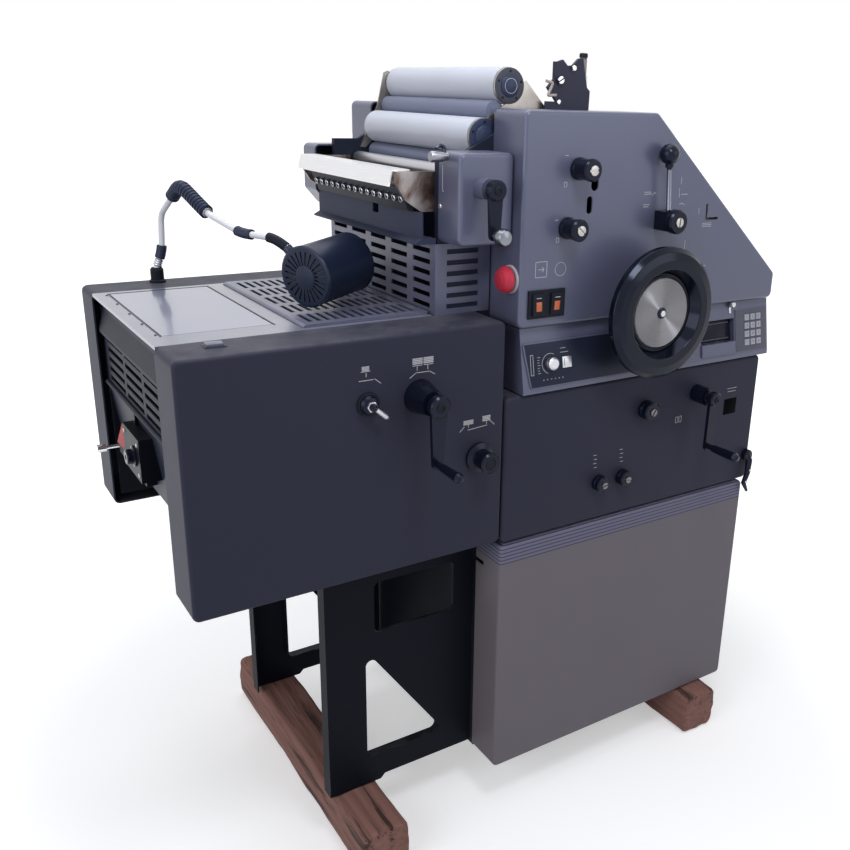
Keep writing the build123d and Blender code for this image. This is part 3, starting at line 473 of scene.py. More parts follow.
near_face = front(0, 0)
scale_rows = ((0, 673), (2, 664), (1, 655), (3, 646))
near_marks = {
    "toggle_marks": [
        [(-298, 919), (-314, 919)], [(-305, 910), (-305, 916)], [(-318, 903.5), (-292, 903.5)],
        [(-289, 904), (-278, 895)],
    ],
    "crank_marks": [
        [(-217, 916.5), (-199.5, 916.5)], [(-195.6, 916.5), (-178, 916.5)], [(-209, 908), (-209, 915)],
        [(-188, 908), (-188, 915)], [(-223, 896), (-211, 904), (-184, 903.5), (-174, 897)],
    ],
    "knob_marks": [
        [(-121, 780), (-112, 788)], [(-104, 781), (-63, 784)], [(-56.5, 792), (-47, 783)],
        [(-103, 786), (-103, 790)], [(-64, 787), (-64, 791)],
    ],
    "power_marks": [
        frame_of(33, 58, 1049, 1077), arc(89.3, 1061, 12.5, 0, 360), [(40, 1063), (52, 1063)],
        [(48, 1067), (52, 1063), (48, 1059)],
    ],
    "lever_marks": [
        [(281, 1189.6), (300, 1190)], [(281, 1193.5), (297, 1193.5)], [(302, 1187), (306, 1193), (310, 1190)],
        [(280.5, 1170), (295, 1170)], [(280.5, 1166), (293, 1166)], [(374.6, 1219), (374.4, 1207)],
        [(371.5, 1198), (372, 1181.5)], [(377, 1187), (394, 1187)], [(375, 1168), (381, 1170), (388, 1166.5)],
        [(399.3, 1095.6), (399, 1081), (394, 1078.7)], [(450, 1042), (463, 1042)], [(430, 1148), (430, 1158)],
        frame_of(88, 94, 1208, 1216), frame_of(76, 82, 1110, 1118), [(88, 1262), (94, 1262)],
        [(72, 1150), (78, 1150)],
    ],
    "slot_marks": [[(443, z), (468, z)] for z in (1121.5, 1124.7, 1127.9)],
    "lower_marks": [
        *([(x + shift, z), (x + shift + 7, z)] for x in (198, 268) for shift, z in scale_rows),
        frame_of(420, 427, 706, 719), frame_of(430, 437, 706, 719), [(572, 760), (600, 760)],
        [(574, 753), (598, 753)],
    ],
}
blocks = {
    "toggle_blocks": [(-312, -300, 920, 928)],
    "crank_blocks": [(-217, -199.5, 918.5, 930), (-195.6, -178, 918.5, 930)],
    "knob_blocks": [(-113, -93.5, 791, 800), (-72, -57, 792, 803)],
}
mark_width = 1.1
block_rows = 4
row_ink = 0.72
for name, lines in near_marks.items():
    shape = bmesh.new()
    for line in lines:
        stroke(shape, near_face, line, mark_width)
    piece(name, shape, white_print)
for name, boxes in blocks.items():
    shape = bmesh.new()
    for x0, x1, z0, z1 in boxes:
        for row in range(block_rows):
            z = z0 + (z1 - z0) * (row + 0.5) / block_rows
            stroke(shape, near_face, [(x0, z), (x1, z)], (z1 - z0) / block_rows * row_ink)
    piece(name, shape, white_print)


# Bare and plated steel
# Screws, rings and small trim are plated and bright. The trough, brackets and feed table are bare
# steel, dull and stained by ink and solvent.
def metal(name, slot, colour, roughness, stain=0.0, mark=(0.09, 0.055, 0.035, 1)):
    """Bare or plated steel, stained in patches."""
    material, tree, skin = new_material(name, slot)
    film = use(material, paint_skin, Size=300.0)
    spots = remap(tree, film.outputs["Cloud"], 0.45, 0.65, to_high=stain)
    tint(tree, skin, spots, (*colour, 1), mark)
    skin.inputs["Metallic"].default_value = 1.0
    roughen(tree, skin, film, roughness * 0.7, roughness * 1.4)
    return material


screw_steel = metal("screw steel", "plated_steel", (0.42, 0.4, 0.39), 0.35)
# A darker copy of the screw steel, used on the centre and lower knobs' screws.
darker_screw_steel = metal("darker screw steel", "plated_steel", (0.16, 0.15, 0.16), 0.4)
plated = metal("bright plating", "plated_steel", (0.82, 0.82, 0.84), 0.16)
silver = metal("satin silver", "plated_steel", (0.5, 0.5, 0.53), 0.34)
bare_steel = metal("bare steel", "bare_steel", (0.42, 0.4, 0.37), 0.38, stain=0.7)
dress(bare_steel, "feed_table")


# Knobs
# Black phenolic knobs, moulded and polished by hands. Each is held on its stem by a plated screw
# with a sawn slot, which shows in the middle of its face.
def moulded(name, slot, colour, roughness, gloss=0.3, coat=0.0):
    """Moulded plastic with faint flow marks and finger grease."""
    material, tree, skin = new_material(name, slot)
    skin.inputs["Specular IOR Level"].default_value = gloss
    skin.inputs["Specular Tint"].default_value = painted_blue_reflection
    film = use(material, paint_skin, Size=400.0)
    tint(tree, skin, film.outputs["Cloud"], (*(value * 0.8 for value in colour), 1), (*colour, 1))
    roughen(tree, skin, film, roughness - 0.08, roughness + 0.1)
    skin.inputs["Coat Weight"].default_value = coat
    skin.inputs["Coat Roughness"].default_value = 0.1
    return material


def lathe(shape, place, profile, steps=40, closed=False):
    """Turns a profile of (radius, height) pairs round the place's Z axis."""
    rings = []
    for radius, height in profile:
        angles = [2 * pi * k / steps for k in range(steps if radius else 1)]
        rings.append([place @ Vector((radius * cos(a), radius * sin(a), height)) for a in angles])
    loft(shape, rings, closed)


def turned(name, place, profile, look, body="press", steps=40, closed=False):
    """Makes a piece that is turned on a lathe."""
    shape = bmesh.new()
    lathe(shape, place, profile, steps, closed)
    piece(name, shape, look, body)


slot_width = 0.2
slot_floor = 0.12
slot_steps = 14


def slotted_screw(shape, place, radius, turn=0.0, height=2.0):
    """Round screw head with a sawn slot. The slot's width and floor are shares of the head's size."""
    place = place @ Matrix.Rotation(radians(turn), 4, "Z")
    floor = height * slot_floor
    lathe(shape, place, ((0, 0), (radius, 0), (radius, floor), (0, floor)), 32)
    start = asin(slot_width)
    angles = [start + k * (pi - 2 * start) / slot_steps for k in range(slot_steps + 1)]
    for side in (1, -1):
        half = [(radius * cos(a), side * radius * sin(a)) for a in angles]
        prism(shape, place, half, height - floor, 0.25, floor)


gloss_black = moulded("polished black", "black_plastic", (0.005, 0.007, 0.015), 0.2, 0.22)
matt_black = moulded("matt black", "black_plastic", (0.01, 0.011, 0.016), 0.5, 0.15)
knob_places = {
    "upper_knob": (119, 1239, 44, 9, 5),
    "form_knob": (99, 1135, 42, 9, -40),
    "centre_knob": (329, 752, 26, 8, 60),
    "lower_knob_left": (214, 612, 22, 7, 10),
    "lower_knob_right": (277, 612, 22, 7, -20),
}
dress(gloss_black, "delivery_knob", *knob_places)
for name, (x, z, reach, radius, turn) in knob_places.items():
    shape = bmesh.new()
    slotted_screw(shape, front(x, z, -reach), radius, turn, 2.8)
    piece(name + "_screw", shape, screw_steel if radius > 8 else darker_screw_steel, name)
knob_cap = ((0, 0), (13, 0), (12, 1.6), (9, 2.2), (8.4, 1.2), (0, 1.0))
turned("delivery_knob_cap", front(-80, 725, -44), knob_cap, matt_black, "delivery_knob")


# Handwheel
# A dished wheel of black moulded plastic, with a spun and plated disc held in its well by one bolt.
# The disc was turned, so its highlights run out from the middle.
def raised(name, place, points, height, look, bevel=0.0, start=0.0, body="press"):
    """Makes a piece that is raised from an outline."""
    shape = bmesh.new()
    prism(shape, place, points, height, bevel, start)
    piece(name, shape, look, body)


wheel_black = moulded("wheel black", "black_plastic", (0.003, 0.005, 0.011), 0.12, 0.22)
dress(wheel_black, "handwheel")
spun, tree, skin = new_material("spun plate", "plated_steel")
place = add(tree, "TexCoord").outputs["Object"]
disc_face = front(283, 974, -72)
centre = tuple(to_frame @ disc_face.translation)
offset = add(tree, "VectorMath", {0: place, 1: centre}, operation="SUBTRACT").outputs[0]
away = add(tree, "VectorMath", {0: offset}, operation="LENGTH").outputs["Value"]
grooves = add(tree, "TexNoise", {"W": away, "Scale": 900.0, "Detail": 2}, noise_dimensions="1D")
tint(tree, skin, grooves.outputs["Fac"], (0.17, 0.17, 0.185, 1), (0.36, 0.355, 0.375, 1))
skin.inputs["Metallic"].default_value = 1.0
skin.inputs["Roughness"].default_value = 0.55
skin.inputs["Anisotropic"].default_value = 1.0
skin.inputs["Anisotropic Rotation"].default_value = 0.25
axis = add(tree, "CombineXYZ", {0: 0.0, 1: -1.0, 2: 0.0})
around = add(tree, "VectorMath", {0: axis.outputs[0], 1: offset}, operation="CROSS_PRODUCT")
around = add(tree, "VectorMath", {0: around.outputs[0]}, operation="NORMALIZE")
tree.links.new(around.outputs[0], skin.inputs["Tangent"])
bump = add(tree, "Bump", {"Height": grooves.outputs["Fac"], "Strength": 0.25, "Distance": 0.0003})
tree.links.new(bump.outputs[0], skin.inputs["Normal"])
dress(spun, "handwheel_disc")
washer = ((0, 0), (11, 0), (11, 0.8), (9.5, 1.6), (0, 1.8))
turned("handwheel_washer", disc_face, washer, gloss_black, "handwheel")
raised("handwheel_bolt", disc_face, arc(0, 0, 6.5, 0, 300, 5), 4.5, silver, 0.8, 1.0, "handwheel")
well_ring = ((68.5, -3.5), (72.5, -3.5), (72.5, -1.2), (68.5, -1.2))
turned("handwheel_ring", disc_face, well_ring, matt_black, "handwheel", 96, True)


# Far cover screws
# The far covers stay on when the press is served. Slotted steel screws with washers hold them along
# their edges.
far_face = 641.6
far_screws = (
    (30, 570), (330, 570), (560, 570), (30, 930), (30, 1300), (300, 1300), (-40, 700), (-40, 930),
    (-560, 640), (-300, 640), (-585, 930), (-300, 930),
)
shape = bmesh.new()
for x, z in far_screws:
    screw_at = Matrix.Translation((x, far_face, z)) @ Matrix.Rotation(-pi / 2, 4, "X")
    lathe(shape, screw_at, ((0, 0), (10, 0), (10, 1), (9, 1.4), (0, 1.4)))
    slotted_screw(shape, screw_at @ Matrix.Translation((0, 0, 1.4)), 6.5, x + z, 2.4)
piece("far_cover_screws", shape, screw_steel)


# Control lever
# A turned steel rod with a ball screwed on its end. It stands on a round hub that a plated screw
# holds over a square block.
lever_x, lever_z = 328, 1141
lever_lean = radians(5.3)
dress(gloss_black, "control_lever")
shape = bmesh.new()
slotted_screw(shape, front(lever_x, lever_z, -52), 9, 85, 2.4)
piece("control_lever_screw", shape, screw_steel, "control_lever")
up_rod = front(lever_x, lever_z, -22) @ Matrix.Rotation(lever_lean, 4, "Z") @ Matrix.Rotation(-pi / 2, 4, "X")
rod_profile = ((4.6, 20), (5.2, 20), (5.2, 22), (4.8, 23), (4.8, 96), (4.6, 96))
rod_steel = metal("rod steel", "plated_steel", (0.16, 0.17, 0.22), 0.25)
turned("control_lever_rod", up_rod, rod_profile, rod_steel, "control_lever", 32, True)


# Cranks
# Black moulded arms with turned handles. A black retaining cap closes each hub, polished bosses stand
# on the covers, and the crank on the head has a bright handle.
crank_places = {"delivery_crank": (-204, 861), "feeder_crank": (474, 766), "head_crank": (-68, 1207)}
dress(gloss_black, *crank_places)
for name, y, r in (("delivery_crank", -76, 9), ("feeder_crank", -62, 7), ("head_crank", -25, 8)):
    cap = ((0, 0), (r, 0), (r, 1.2), (r - 2, 2.6), (r - 4, 2.6), (r - 4, 1.4), (0, 1.2))
    turned(name + "_cap", front(*crank_places[name], y), cap, matt_black, name)
for name, low, high, reach in (("delivery_crank", 30, 21, 50), ("feeder_crank", 18, 18, 36)):
    boss = (
        (low + 0.05, 0.2), (low + 0.9, 0.2), (high + 0.9, reach + 0.4), (10.5, reach + 0.4),
        (10.5, reach + 0.05), (high + 0.05, reach + 0.05),
    )
    turned(name + "_boss", front(*crank_places[name]), boss, gloss_black, steps=48, closed=True)
grip = (
    (0, 0.5), (5.5, 0.5), (8, 1), (8, 6), (11, 10), (15.3, 17), (15.3, 26), (12, 32), (6, 34.4), (0, 34.6),
)
grip_steel = metal("worn grip", "plated_steel", (0.2, 0.21, 0.24), 0.3, stain=0.35)
turned("head_crank_grip", front(-68, 1132, -19), grip, grip_steel, "head_crank")


# Toggle
# A plated switch screwed through a black boss with a lock nut and a round bezel. Its bat points down
# to the right.
dress(gloss_black, "delivery_toggle")
shape = bmesh.new()
toggle_front = front(-303, 862)
lathe(shape, toggle_front, ((7.2, 16.2), (9.5, 16.2), (9.5, 19.5), (8.5, 20), (7.2, 20)), 6, True)
bat_turn = Matrix.Rotation(radians(-130), 4, "Z") @ Matrix.Rotation(-pi / 2, 4, "X")
bat = toggle_front @ Matrix.Translation((0, 0, 20)) @ bat_turn
lathe(shape, bat, ((0, 8), (3.9, 8), (5.3, 31), (4.2, 35), (0, 36)), 24)
piece("toggle_bat", shape, silver, "delivery_toggle")
bezel = ((17.4, 0.6), (21, 0.6), (20, 5), (17.4, 6))
turned("toggle_bezel", toggle_front, bezel, matt_black, closed=True)


# Emergency stop
# A red moulded mushroom button on the left flange of the upper cover. A pale ring behind it covers
# the edge of its hole.
dress(moulded("stop red", "red_plastic", (0.5, 0.03, 0.055), 0.4), "stop_button")
ring_look = moulded("ring grey", "key_plastic", (0.45, 0.42, 0.45), 0.5)
stop_place = Matrix.Translation((0, 30, 1044)) @ Matrix.Rotation(-pi / 2, 4, "Y")
collar = ((9, 0.2), (26, 0.2), (26, 2), (24, 3), (21, 3.2), (9, 3.2))
turned("stop_collar", stop_place, collar, ring_look, steps=48, closed=True)


# Power rockers
# Two rocker switches snapped into a black bezel. Each rocker carries a lit amber lens with a printed
# line above it.
dress(matt_black, "power_switches")
amber, tree, skin = new_material("amber lens", "red_plastic")
film = use(amber, paint_skin, Size=300.0)
tint(tree, skin, film.outputs["Cloud"], (0.3, 0.06, 0.02, 1), (0.48, 0.11, 0.03, 1))
skin.inputs["Emission Color"].default_value = (1.0, 0.22, 0.05, 1)
skin.inputs["Emission Strength"].default_value = 0.06
skin.inputs["Roughness"].default_value = 0.3
rocker_tilt = 4
for end, side in (("left", -1), ("right", 1)):
    tilt = Matrix.Rotation(radians(rocker_tilt * side), 4, "X") @ Matrix.Translation((0, 0, 3))
    on_rocker = front(59 + side * 20.5, 1000) @ Matrix.Translation((0, 0, 5)) @ tilt
    raised("rocker_lens_" + end, on_rocker, corners_of(-6, 6, -12, 5), 0.9, amber, 0.3)
    shape = bmesh.new()
    stroke(shape, on_rocker, [(-5, 12), (5, 12)], 1.4, 0.3)
    piece("rocker_mark_" + end, shape, white_print)


# Control strip
# A leaning strip with a black moulded switch module, a dark display in a recess and a keypad of
# twelve pale moulded keys with printed digits.
strip_offset, strip_rise = 20, 115
strip_lean = pi / 2 - asin(strip_offset / (strip_offset ** 2 + strip_rise ** 2) ** 0.5)
on_strip = Matrix.Translation((0, -6, 838)) @ Matrix.Rotation(strip_lean, 4, "X")
dress(moulded("key grey", "key_plastic", (0.42, 0.43, 0.48), 0.5), "keypad")
module_look = moulded("module black", "black_plastic", (0.014, 0.017, 0.032), 0.35, 0.2)
raised("module_face", on_strip, [(30, 4), (361, 4), (361, 86.5), (18, 86.5)], 0.6, module_look, 0.3, 3)

key_gap = 18.2
shape = bmesh.new()
for index, digit in enumerate("147*2580369#"):
    key_x = 630 + (index // 4 - 1) * key_gap
    key_y = 52.4 + (1.5 - index % 4) * key_gap
    curve = bpy.data.curves.new("digit", "FONT")
    curve.body = digit
    curve.size = 8
    curve.extrude = 0.1
    curve.align_x = "CENTER"
    curve.align_y = "CENTER"
    stamp = bpy.data.objects.new("digit", curve)
    mesh = bpy.data.meshes.new_from_object(stamp)
    mesh.transform(on_strip @ Matrix.Translation((key_x, key_y, 4.6)))
    shape.from_mesh(mesh)
    bpy.data.objects.remove(stamp)
    bpy.data.meshes.remove(mesh)
    bpy.data.curves.remove(curve)
piece("key_digits", shape, moulded("digit ink", "key_plastic", (0.16, 0.16, 0.19), 0.5))

pad_look = moulded("pad grey", "key_plastic", (0.1, 0.103, 0.13), 0.5)
raised("key_pad", on_strip, corners_of(579, 673, 7, 97.7), 0.4, pad_look, 0.1, 1.5)

glass, tree, skin = new_material("display glass", "black_plastic")
film = use(glass, paint_skin, Size=200.0)
tint(tree, skin, film.outputs["Cloud"], (0.004, 0.005, 0.012, 1), (0.012, 0.014, 0.028, 1))
skin.inputs["Roughness"].default_value = 0.25
skin.inputs["Specular IOR Level"].default_value = 0.12
raised("display_glass", on_strip, corners_of(476.5, 572.5, 34.5, 79.2), 8, glass, 1.5, -17.8)
shape = bmesh.new()
for y in (40, 73.5):
    prism(shape, on_strip, corners_of(482, 567, y - 1, y + 1), 0.6, 0.2, -9.8)
piece("display_frame", shape, pad_look)

dress(silver, "speed_knob")
speed_x, speed_y = 75, 46
mark_height = 3.75
shape = bmesh.new()
speed_arc = arc(speed_x, speed_y, 19, 60, 250)
for line in (speed_arc, frame_of(30, 36, 28, 66), [(100, 64), (118, 64)], [(100, 72), (112, 72)]):
    stroke(shape, on_strip, line, 1.0, mark_height)
for k in range(7):
    stroke(shape, on_strip, [(46, 30 + 5 * k), (50 if k % 3 else 52, 30 + 5 * k)], 0.8, mark_height)
for k in range(6):
    prism(shape, on_strip, arc(58 + 9 * k, 16, 1.1, 0, 315, 7), 0.15, 0, 3.6)
piece("speed_marks", shape, white_print)
shape = bmesh.new()
prism(shape, on_strip, corners_of(101, 123, 34, 56), 5, 1.5, 3)
prism(shape, on_strip, corners_of(105, 119, 38, 52), 2, 0.8, 8)
piece("strip_button", shape, silver)
knob_top = on_strip @ Matrix.Translation((speed_x, speed_y, 16))
shape = bmesh.new()
lathe(shape, knob_top, ((0, 0), (8.6, 0), (8.2, 0.7), (0, 0.9)))
prism(shape, knob_top, corners_of(-0.7, 0.7, 1, 8), 1.4)
piece("speed_knob_line", shape, matt_black, "speed_knob")


# Lower cover details
# A square grip hole whose dark inside is painted shade on a flat near-black square, a plated boss over
# the display, and a black latch lever that hangs from pins at the lower right corner.
def pipe(shape, points, radii, steps=20):
    """Round bar along points. It has one radius, or one for each point."""
    points = [Vector(point) for point in points]
    radii = [radii] * len(points) if isinstance(radii, (int, float)) else radii
    rings = []
    side = None
    for k, (point, radius) in enumerate(zip(points, radii)):
        ahead = (points[min(k + 1, len(points) - 1)] - points[max(k - 1, 0)]).normalized()
        side = (ahead.orthogonal() if side is None else side - ahead * side.dot(ahead)).normalized()
        up = ahead.cross(side)
        angles = [2 * pi * step / steps for step in range(steps)]
        rings.append([point + (side * cos(a) + up * sin(a)) * radius for a in angles])
    loft(shape, rings)


# Near-black square laid on the face for the inside of the grip hole: painted shade.
painted_hole_shade = moulded("painted hole shade", "black_plastic", (0.0015, 0.0015, 0.002), 0.6, 0.02)
raised("grip_hole_shade", front(585, 718), corners_of(-19, 19, -18, 18), 0.6, painted_hole_shade, 0.2)
shape = bmesh.new()
lathe(shape, front(562, 950, 8), ((0, 0), (6.5, 0), (6.5, 6), (5, 9), (0, 9.6)), 24)
prism(shape, on_strip @ Matrix.Translation((562, 101, 0)), corners_of(-3, 3, -8, 8), 2.5, 0.8)
piece("strip_boss", shape, silver)
latch_route = [(652, -7, 598), (657, -13, 578), (654, -15, 548), (646, -14, 524), (664, -10, 500)]
shape = bmesh.new()
pipe(shape, latch_route, [7, 8, 6.5, 6, 3.5], 16)
lathe(shape, front(655, 590, -3), ((0, -3), (13, -3), (13, 8), (10, 11), (0, 12)), 32)
piece("corner_latch", shape, gloss_black)
shape = bmesh.new()
for x, z, reach in ((655, 590, 15), (655, 556, 23), (648, 528, 21)):
    lathe(shape, front(x, z, -reach + 1), ((0, 0), (3.4, 0), (2.8, 1.6), (0, 2)), 16)
piece("corner_latch_pins", shape, silver)


# Delivery deck and end
# The deck is painted sheet, with a latch tab on its flange and a lift-out window in a black edging.
# Under the slotted end panel hang a receiver stop, its red tab and the screw that clamps it.
latch_look = moulded("latch", "black_plastic", (0.02, 0.021, 0.028), 0.35)
# The window sheet's pale body colour is partly its own and partly painted reflection.
dress(moulded("window sheet, partly painted reflection", "window_sheet", (0.22, 0.23, 0.31), 0.3, 0.5, 0.8), "deck_window")
tab_place = Matrix.Translation((-533, 64, 975)) @ Matrix.Rotation(radians(-4), 4, "Z")
raised("latch_base", tab_place, corners_of(-17, 17, -13, 13), 1.4, latch_look, 0.5)
# The tab takes the lighter copy of the cover paint, painted light.
raised("latch_tab", tab_place, corners_of(-14, 14, -9, 11), 4, lit_cover_paint, 1.5, 1.4)
shape = bmesh.new()
deck_top = Matrix.Translation((0, 0, 975.1))
stroke(shape, deck_top, [(-589.5, 157), (-589.5, 526.5), (-399.5, 526.5), (-399.5, 157)], 2.2, 0.4)
for y in (170, 255, 340, 430, 515):
    lathe(shape, deck_top @ Matrix.Translation((-594, y, 0)), ((0, 0), (2.4, 0), (2, 1), (0, 1.2)), 16)
piece("window_edge", shape, latch_look)
dress(moulded("greasy black", "black_plastic", (0.004, 0.005, 0.008), 0.4, 0.1), "delivery_stop")
dress(moulded("tab red", "red_plastic", (0.42, 0.012, 0.01), 0.45, 0.1), "stop_tab")
dress(plated, "stop_screw")
stop_face = Matrix.Translation((-622.9, 0, 0)) @ Matrix.Rotation(-pi / 2, 4, "Y")
stop_knob = ((0, -0.5), (19, -0.5), (19, 3), (14, 5), (14, 13), (12, 15), (5, 15), (4.4, 13.5), (0, 13.5))
turned("stop_knob", stop_face @ Matrix.Translation((736, 276, 0)), stop_knob, gloss_black)
shape = bmesh.new()
for y, z in ((250, 708), (250, 764), (340, 708), (340, 764)):
    slotted_screw(shape, stop_face @ Matrix.Translation((z, y, 0)), 4, 20 + z, 1.8)
piece("stop_block_screws", shape, screw_steel)


# Work lamp
# A white painted tube in a black socket, with a ribbed rubber sleeve over its bend. The shade is a
# black enamelled can with a slotted cap.
white_enamel = painted("white enamel", "lamp_enamel", (0.8, 0.8, 0.83), 0.3, wear=0.0, dusty=0.1)
navy = moulded("navy rubber", "black_plastic", (0.02, 0.026, 0.05), 0.45)
enamel = moulded("black enamel", "lamp_enamel", (0.009, 0.014, 0.032), 0.3, 0.4)
dress(enamel, "lamp_shade")


def bend(points, radius, steps=8):
    """Path with its corners rounded."""
    path = [Vector(points[0])]
    for before, corner, after in zip(points, points[1:], points[2:]):
        corner = Vector(corner)
        start = corner + (Vector(before) - corner).normalized() * radius
        end = corner + (Vector(after) - corner).normalized() * radius
        for k in range(steps + 1):
            t = k / steps
            path.append(start * (1 - t) ** 2 + corner * 2 * t * (1 - t) + end * t * t)
    return path + [Vector(points[-1])]


def rod(name, points, radii, look, steps=24):
    """Makes a piece that is round along a path."""
    shape = bmesh.new()
    pipe(shape, points, radii, steps)
    piece(name, shape, look)


def spaced(points, step):
    """Points at equal steps along a path."""
    result = [points[0]]
    left = step
    for start, end in zip(points, points[1:]):
        length = (end - start).length
        while left <= length:
            result.append(start.lerp(end, left / length))
            left += step
        left -= length
    return result


lamp_route = [
    (-475, 610, 1003), (-461, 610, 1040), (-458, 608, 1110), (-440, 520, 1176), (-413, 442, 1128),
    (-384, 350, 1104), (-352, 268, 1104), (-335.6, 249.7, 1088.7),
]
lamp_path = bend(lamp_route, 18)
shape = bmesh.new()
pipe(shape, lamp_path, 6)
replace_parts(piece("lamp_tube", shape, white_enamel, smooth=60), "lamp_arm")
socket = ((0, 0), (16, 0), (16, 4), (13, 6), (13, 26), (10, 30), (0, 30))
turned("lamp_socket", Matrix.Translation((-475, 610, 975)), socket, matt_black)
bent = spaced(lamp_path, 1.6)
pole = [point for point in bent if point.y > 600]
collar = [point for point in pole if 1021 < point.z < 1050]
rod("lamp_collar", collar, [9] + [10] * (len(collar) - 2) + [9], navy, 32)
ribs = [point for point in pole if 1006 < point.z < 1021.5]
rod("lamp_ribs", ribs, [8.8 if k % 3 else 7 for k in range(len(ribs))], silver, 32)
sleeve = [point for point in bent if 446 < point.y < 556]
rod("lamp_sleeve", sleeve, [13.6 if k % 5 in (1, 2, 3) else 11.4 for k in range(len(sleeve))], navy, 28)
tip = sleeve[-1]
rod("lamp_sleeve_end", [tip, tip + (tip - sleeve[-3]).normalized() * 2.5], 9.5, ring_look)
cuff = [point for point in bent if 322 < point.y < 362]
rod("lamp_cuff", cuff, [9.5 if k % 4 else 8.4 for k in range(len(cuff))], navy)
rod("lamp_joint", [point for point in bent if point.y < 282], 9, matt_black)
shade_turn = Vector((0.888, 0.452, 0.083)).normalized().to_track_quat("Z", "Y").to_matrix().to_4x4()
shade_place = Matrix.Translation((-322, 205, 1042)) @ shade_turn
turned("shade_cap", shade_place, ((0, -1.4), (18, -1.4), (20, -0.6), (20, 0.4), (0, 0.4)), navy)
reflector = moulded("reflector", "lamp_enamel", (0.2, 0.21, 0.25), 0.4)
turned("shade_reflector", shade_place, ((0, 8), (51, 8), (51, 9.5), (0, 9.5)), reflector, steps=48)
shape = bmesh.new()
lathe(shape, shade_place, ((54.6, 2.5), (55.8, 2.5), (55.8, 5), (54.6, 5)), 72, True)
lathe(shape, shade_place, ((54.6, 124), (56, 124), (56, 128.5), (54.6, 128.5)), 72, True)
piece("shade_beads", shape, enamel)


# Inking head
# Rounded covers carry the crank, a printed scale line and a screw. A plated thumb pin with a bent
# steel hook beside it locks the fountain.
left_turn = Matrix.Rotation(-pi / 2, 4, "Y") @ Matrix.Rotation(-pi / 2, 4, "Z")
left_face = Matrix.Translation((-113, 0, 0)) @ left_turn
shape = bmesh.new()
stroke(shape, left_face, [(-84, 1240), (-84, 1198)], 1.4)
stroke(shape, left_face, [(-84, 1198), (-80, 1198)], 1.4)
piece("head_scale", shape, white_print)
head_screw = left_face @ Matrix.Translation((-92, 1171, 0))
turned("head_screw", head_screw, ((0, 0), (4.5, 0), (4, 1.6), (0, 2.2)), silver, steps=24)
pin_steel = metal("pin steel", "plated_steel", (0.3, 0.31, 0.36), 0.3, stain=0.3)
pin_place = Matrix.Translation((-113, 70, 1257)) @ Matrix.Rotation(-pi / 2, 4, "Y")
pin = ((0, 0), (7, 0), (7, 8), (9, 9), (9, 30), (8, 33), (0, 34))
turned("thumb_pin", pin_place, pin, pin_steel, steps=32)
hook_steel = metal("hook steel", "plated_steel", (0.06, 0.065, 0.09), 0.25)
hook = bend([(-118, 70, 1262), (-119, 70, 1272), (-129, 68, 1276), (-137, 66, 1271)], 4)
rod("thumb_hook", hook, [3.4] * (len(hook) - 1) + [2.2], hook_steel, 16)


# Ink fountain
# A bare steel trough full of dried ink, with plated keys along its front, a bright guard over its
# lip and cheeks stained brown.
trough_steel, tree, skin = new_material("stained trough", "bare_steel")
place = add(tree, "TexCoord").outputs["Object"]
run_down = add(tree, "Mapping", {"Vector": place, "Scale": (1, 1, 0.6)}).outputs[0]
runs = speckle(tree, run_down, 22, 7, 0.55, 0.3)
tones = add(tree, "ValToRGB", {0: runs})
ink_tones = ((0.34, (0.012, 0.011, 0.013)), (0.46, (0.1, 0.062, 0.048)), (0.6, (0.3, 0.27, 0.26)))
for position, colour in ink_tones:
    stop = tones.color_ramp.elements.new(position)
    stop.color = (*colour, 1)
tones.color_ramp.elements.remove(tones.color_ramp.elements[0])
tones.color_ramp.elements[-1].color = (0.55, 0.53, 0.53, 1)
tree.links.new(tones.outputs[0], skin.inputs["Base Color"])
skin.inputs["Metallic"].default_value = 0.85
tree.links.new(remap(tree, runs, 0.3, 0.7, 0.55, 0.28), skin.inputs["Roughness"])
dress(trough_steel, "ink_fountain")

inked_bar = moulded("inked bar", "black_plastic", (0.012, 0.013, 0.02), 0.45, 0.15)
key_steel = metal("key steel", "plated_steel", (0.42, 0.42, 0.46), 0.3, stain=0.4, mark=(0.04, 0.04, 0.05, 1))
key_count = 15
key_pitch = 26.0
key_tilt = radians(109)
key_bar = [(-177, 1203), (-175, 1204), (-161, 1174), (-151, 1166), (-151, 1160), (-163, 1162)]
raised("fountain_key_bar", front(0, 0, 505), key_bar, 387, inked_bar)
key_ring = ((0, -4), (6.2, -4), (6.2, 4.6), (5.4, 5.6), (3.8, 5.6), (3.4, 4.4), (0, 4.4))
shape = bmesh.new()
heads = bmesh.new()
for k in range(key_count):
    key_at = Matrix.Translation((-170, 124 + key_pitch * k, 1183)) @ Matrix.Rotation(-key_tilt, 4, "Y")
    lathe(shape, key_at, key_ring, 24)
    slotted_screw(heads, key_at @ Matrix.Translation((0, 0, 4.4)), 3.2, 37 * k, 1.6)
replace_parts(piece("fountain_key_rings", shape, key_steel), "fountain_keys")
piece("fountain_key_slots", heads, inked_bar)
guard_steel, tree, skin = new_material("brushed guard", "plated_steel")
place = add(tree, "TexCoord").outputs["Object"]
brushed = add(tree, "Mapping", {"Vector": place, "Scale": (1, 0.02, 1)}).outputs[0]
tint(tree, skin, speckle(tree, brushed, 900, 3), (0.72, 0.72, 0.74, 1), (0.9, 0.9, 0.92, 1))
skin.inputs["Metallic"].default_value = 0.9
skin.inputs["Roughness"].default_value = 0.34
dress(guard_steel, "fountain_guard")
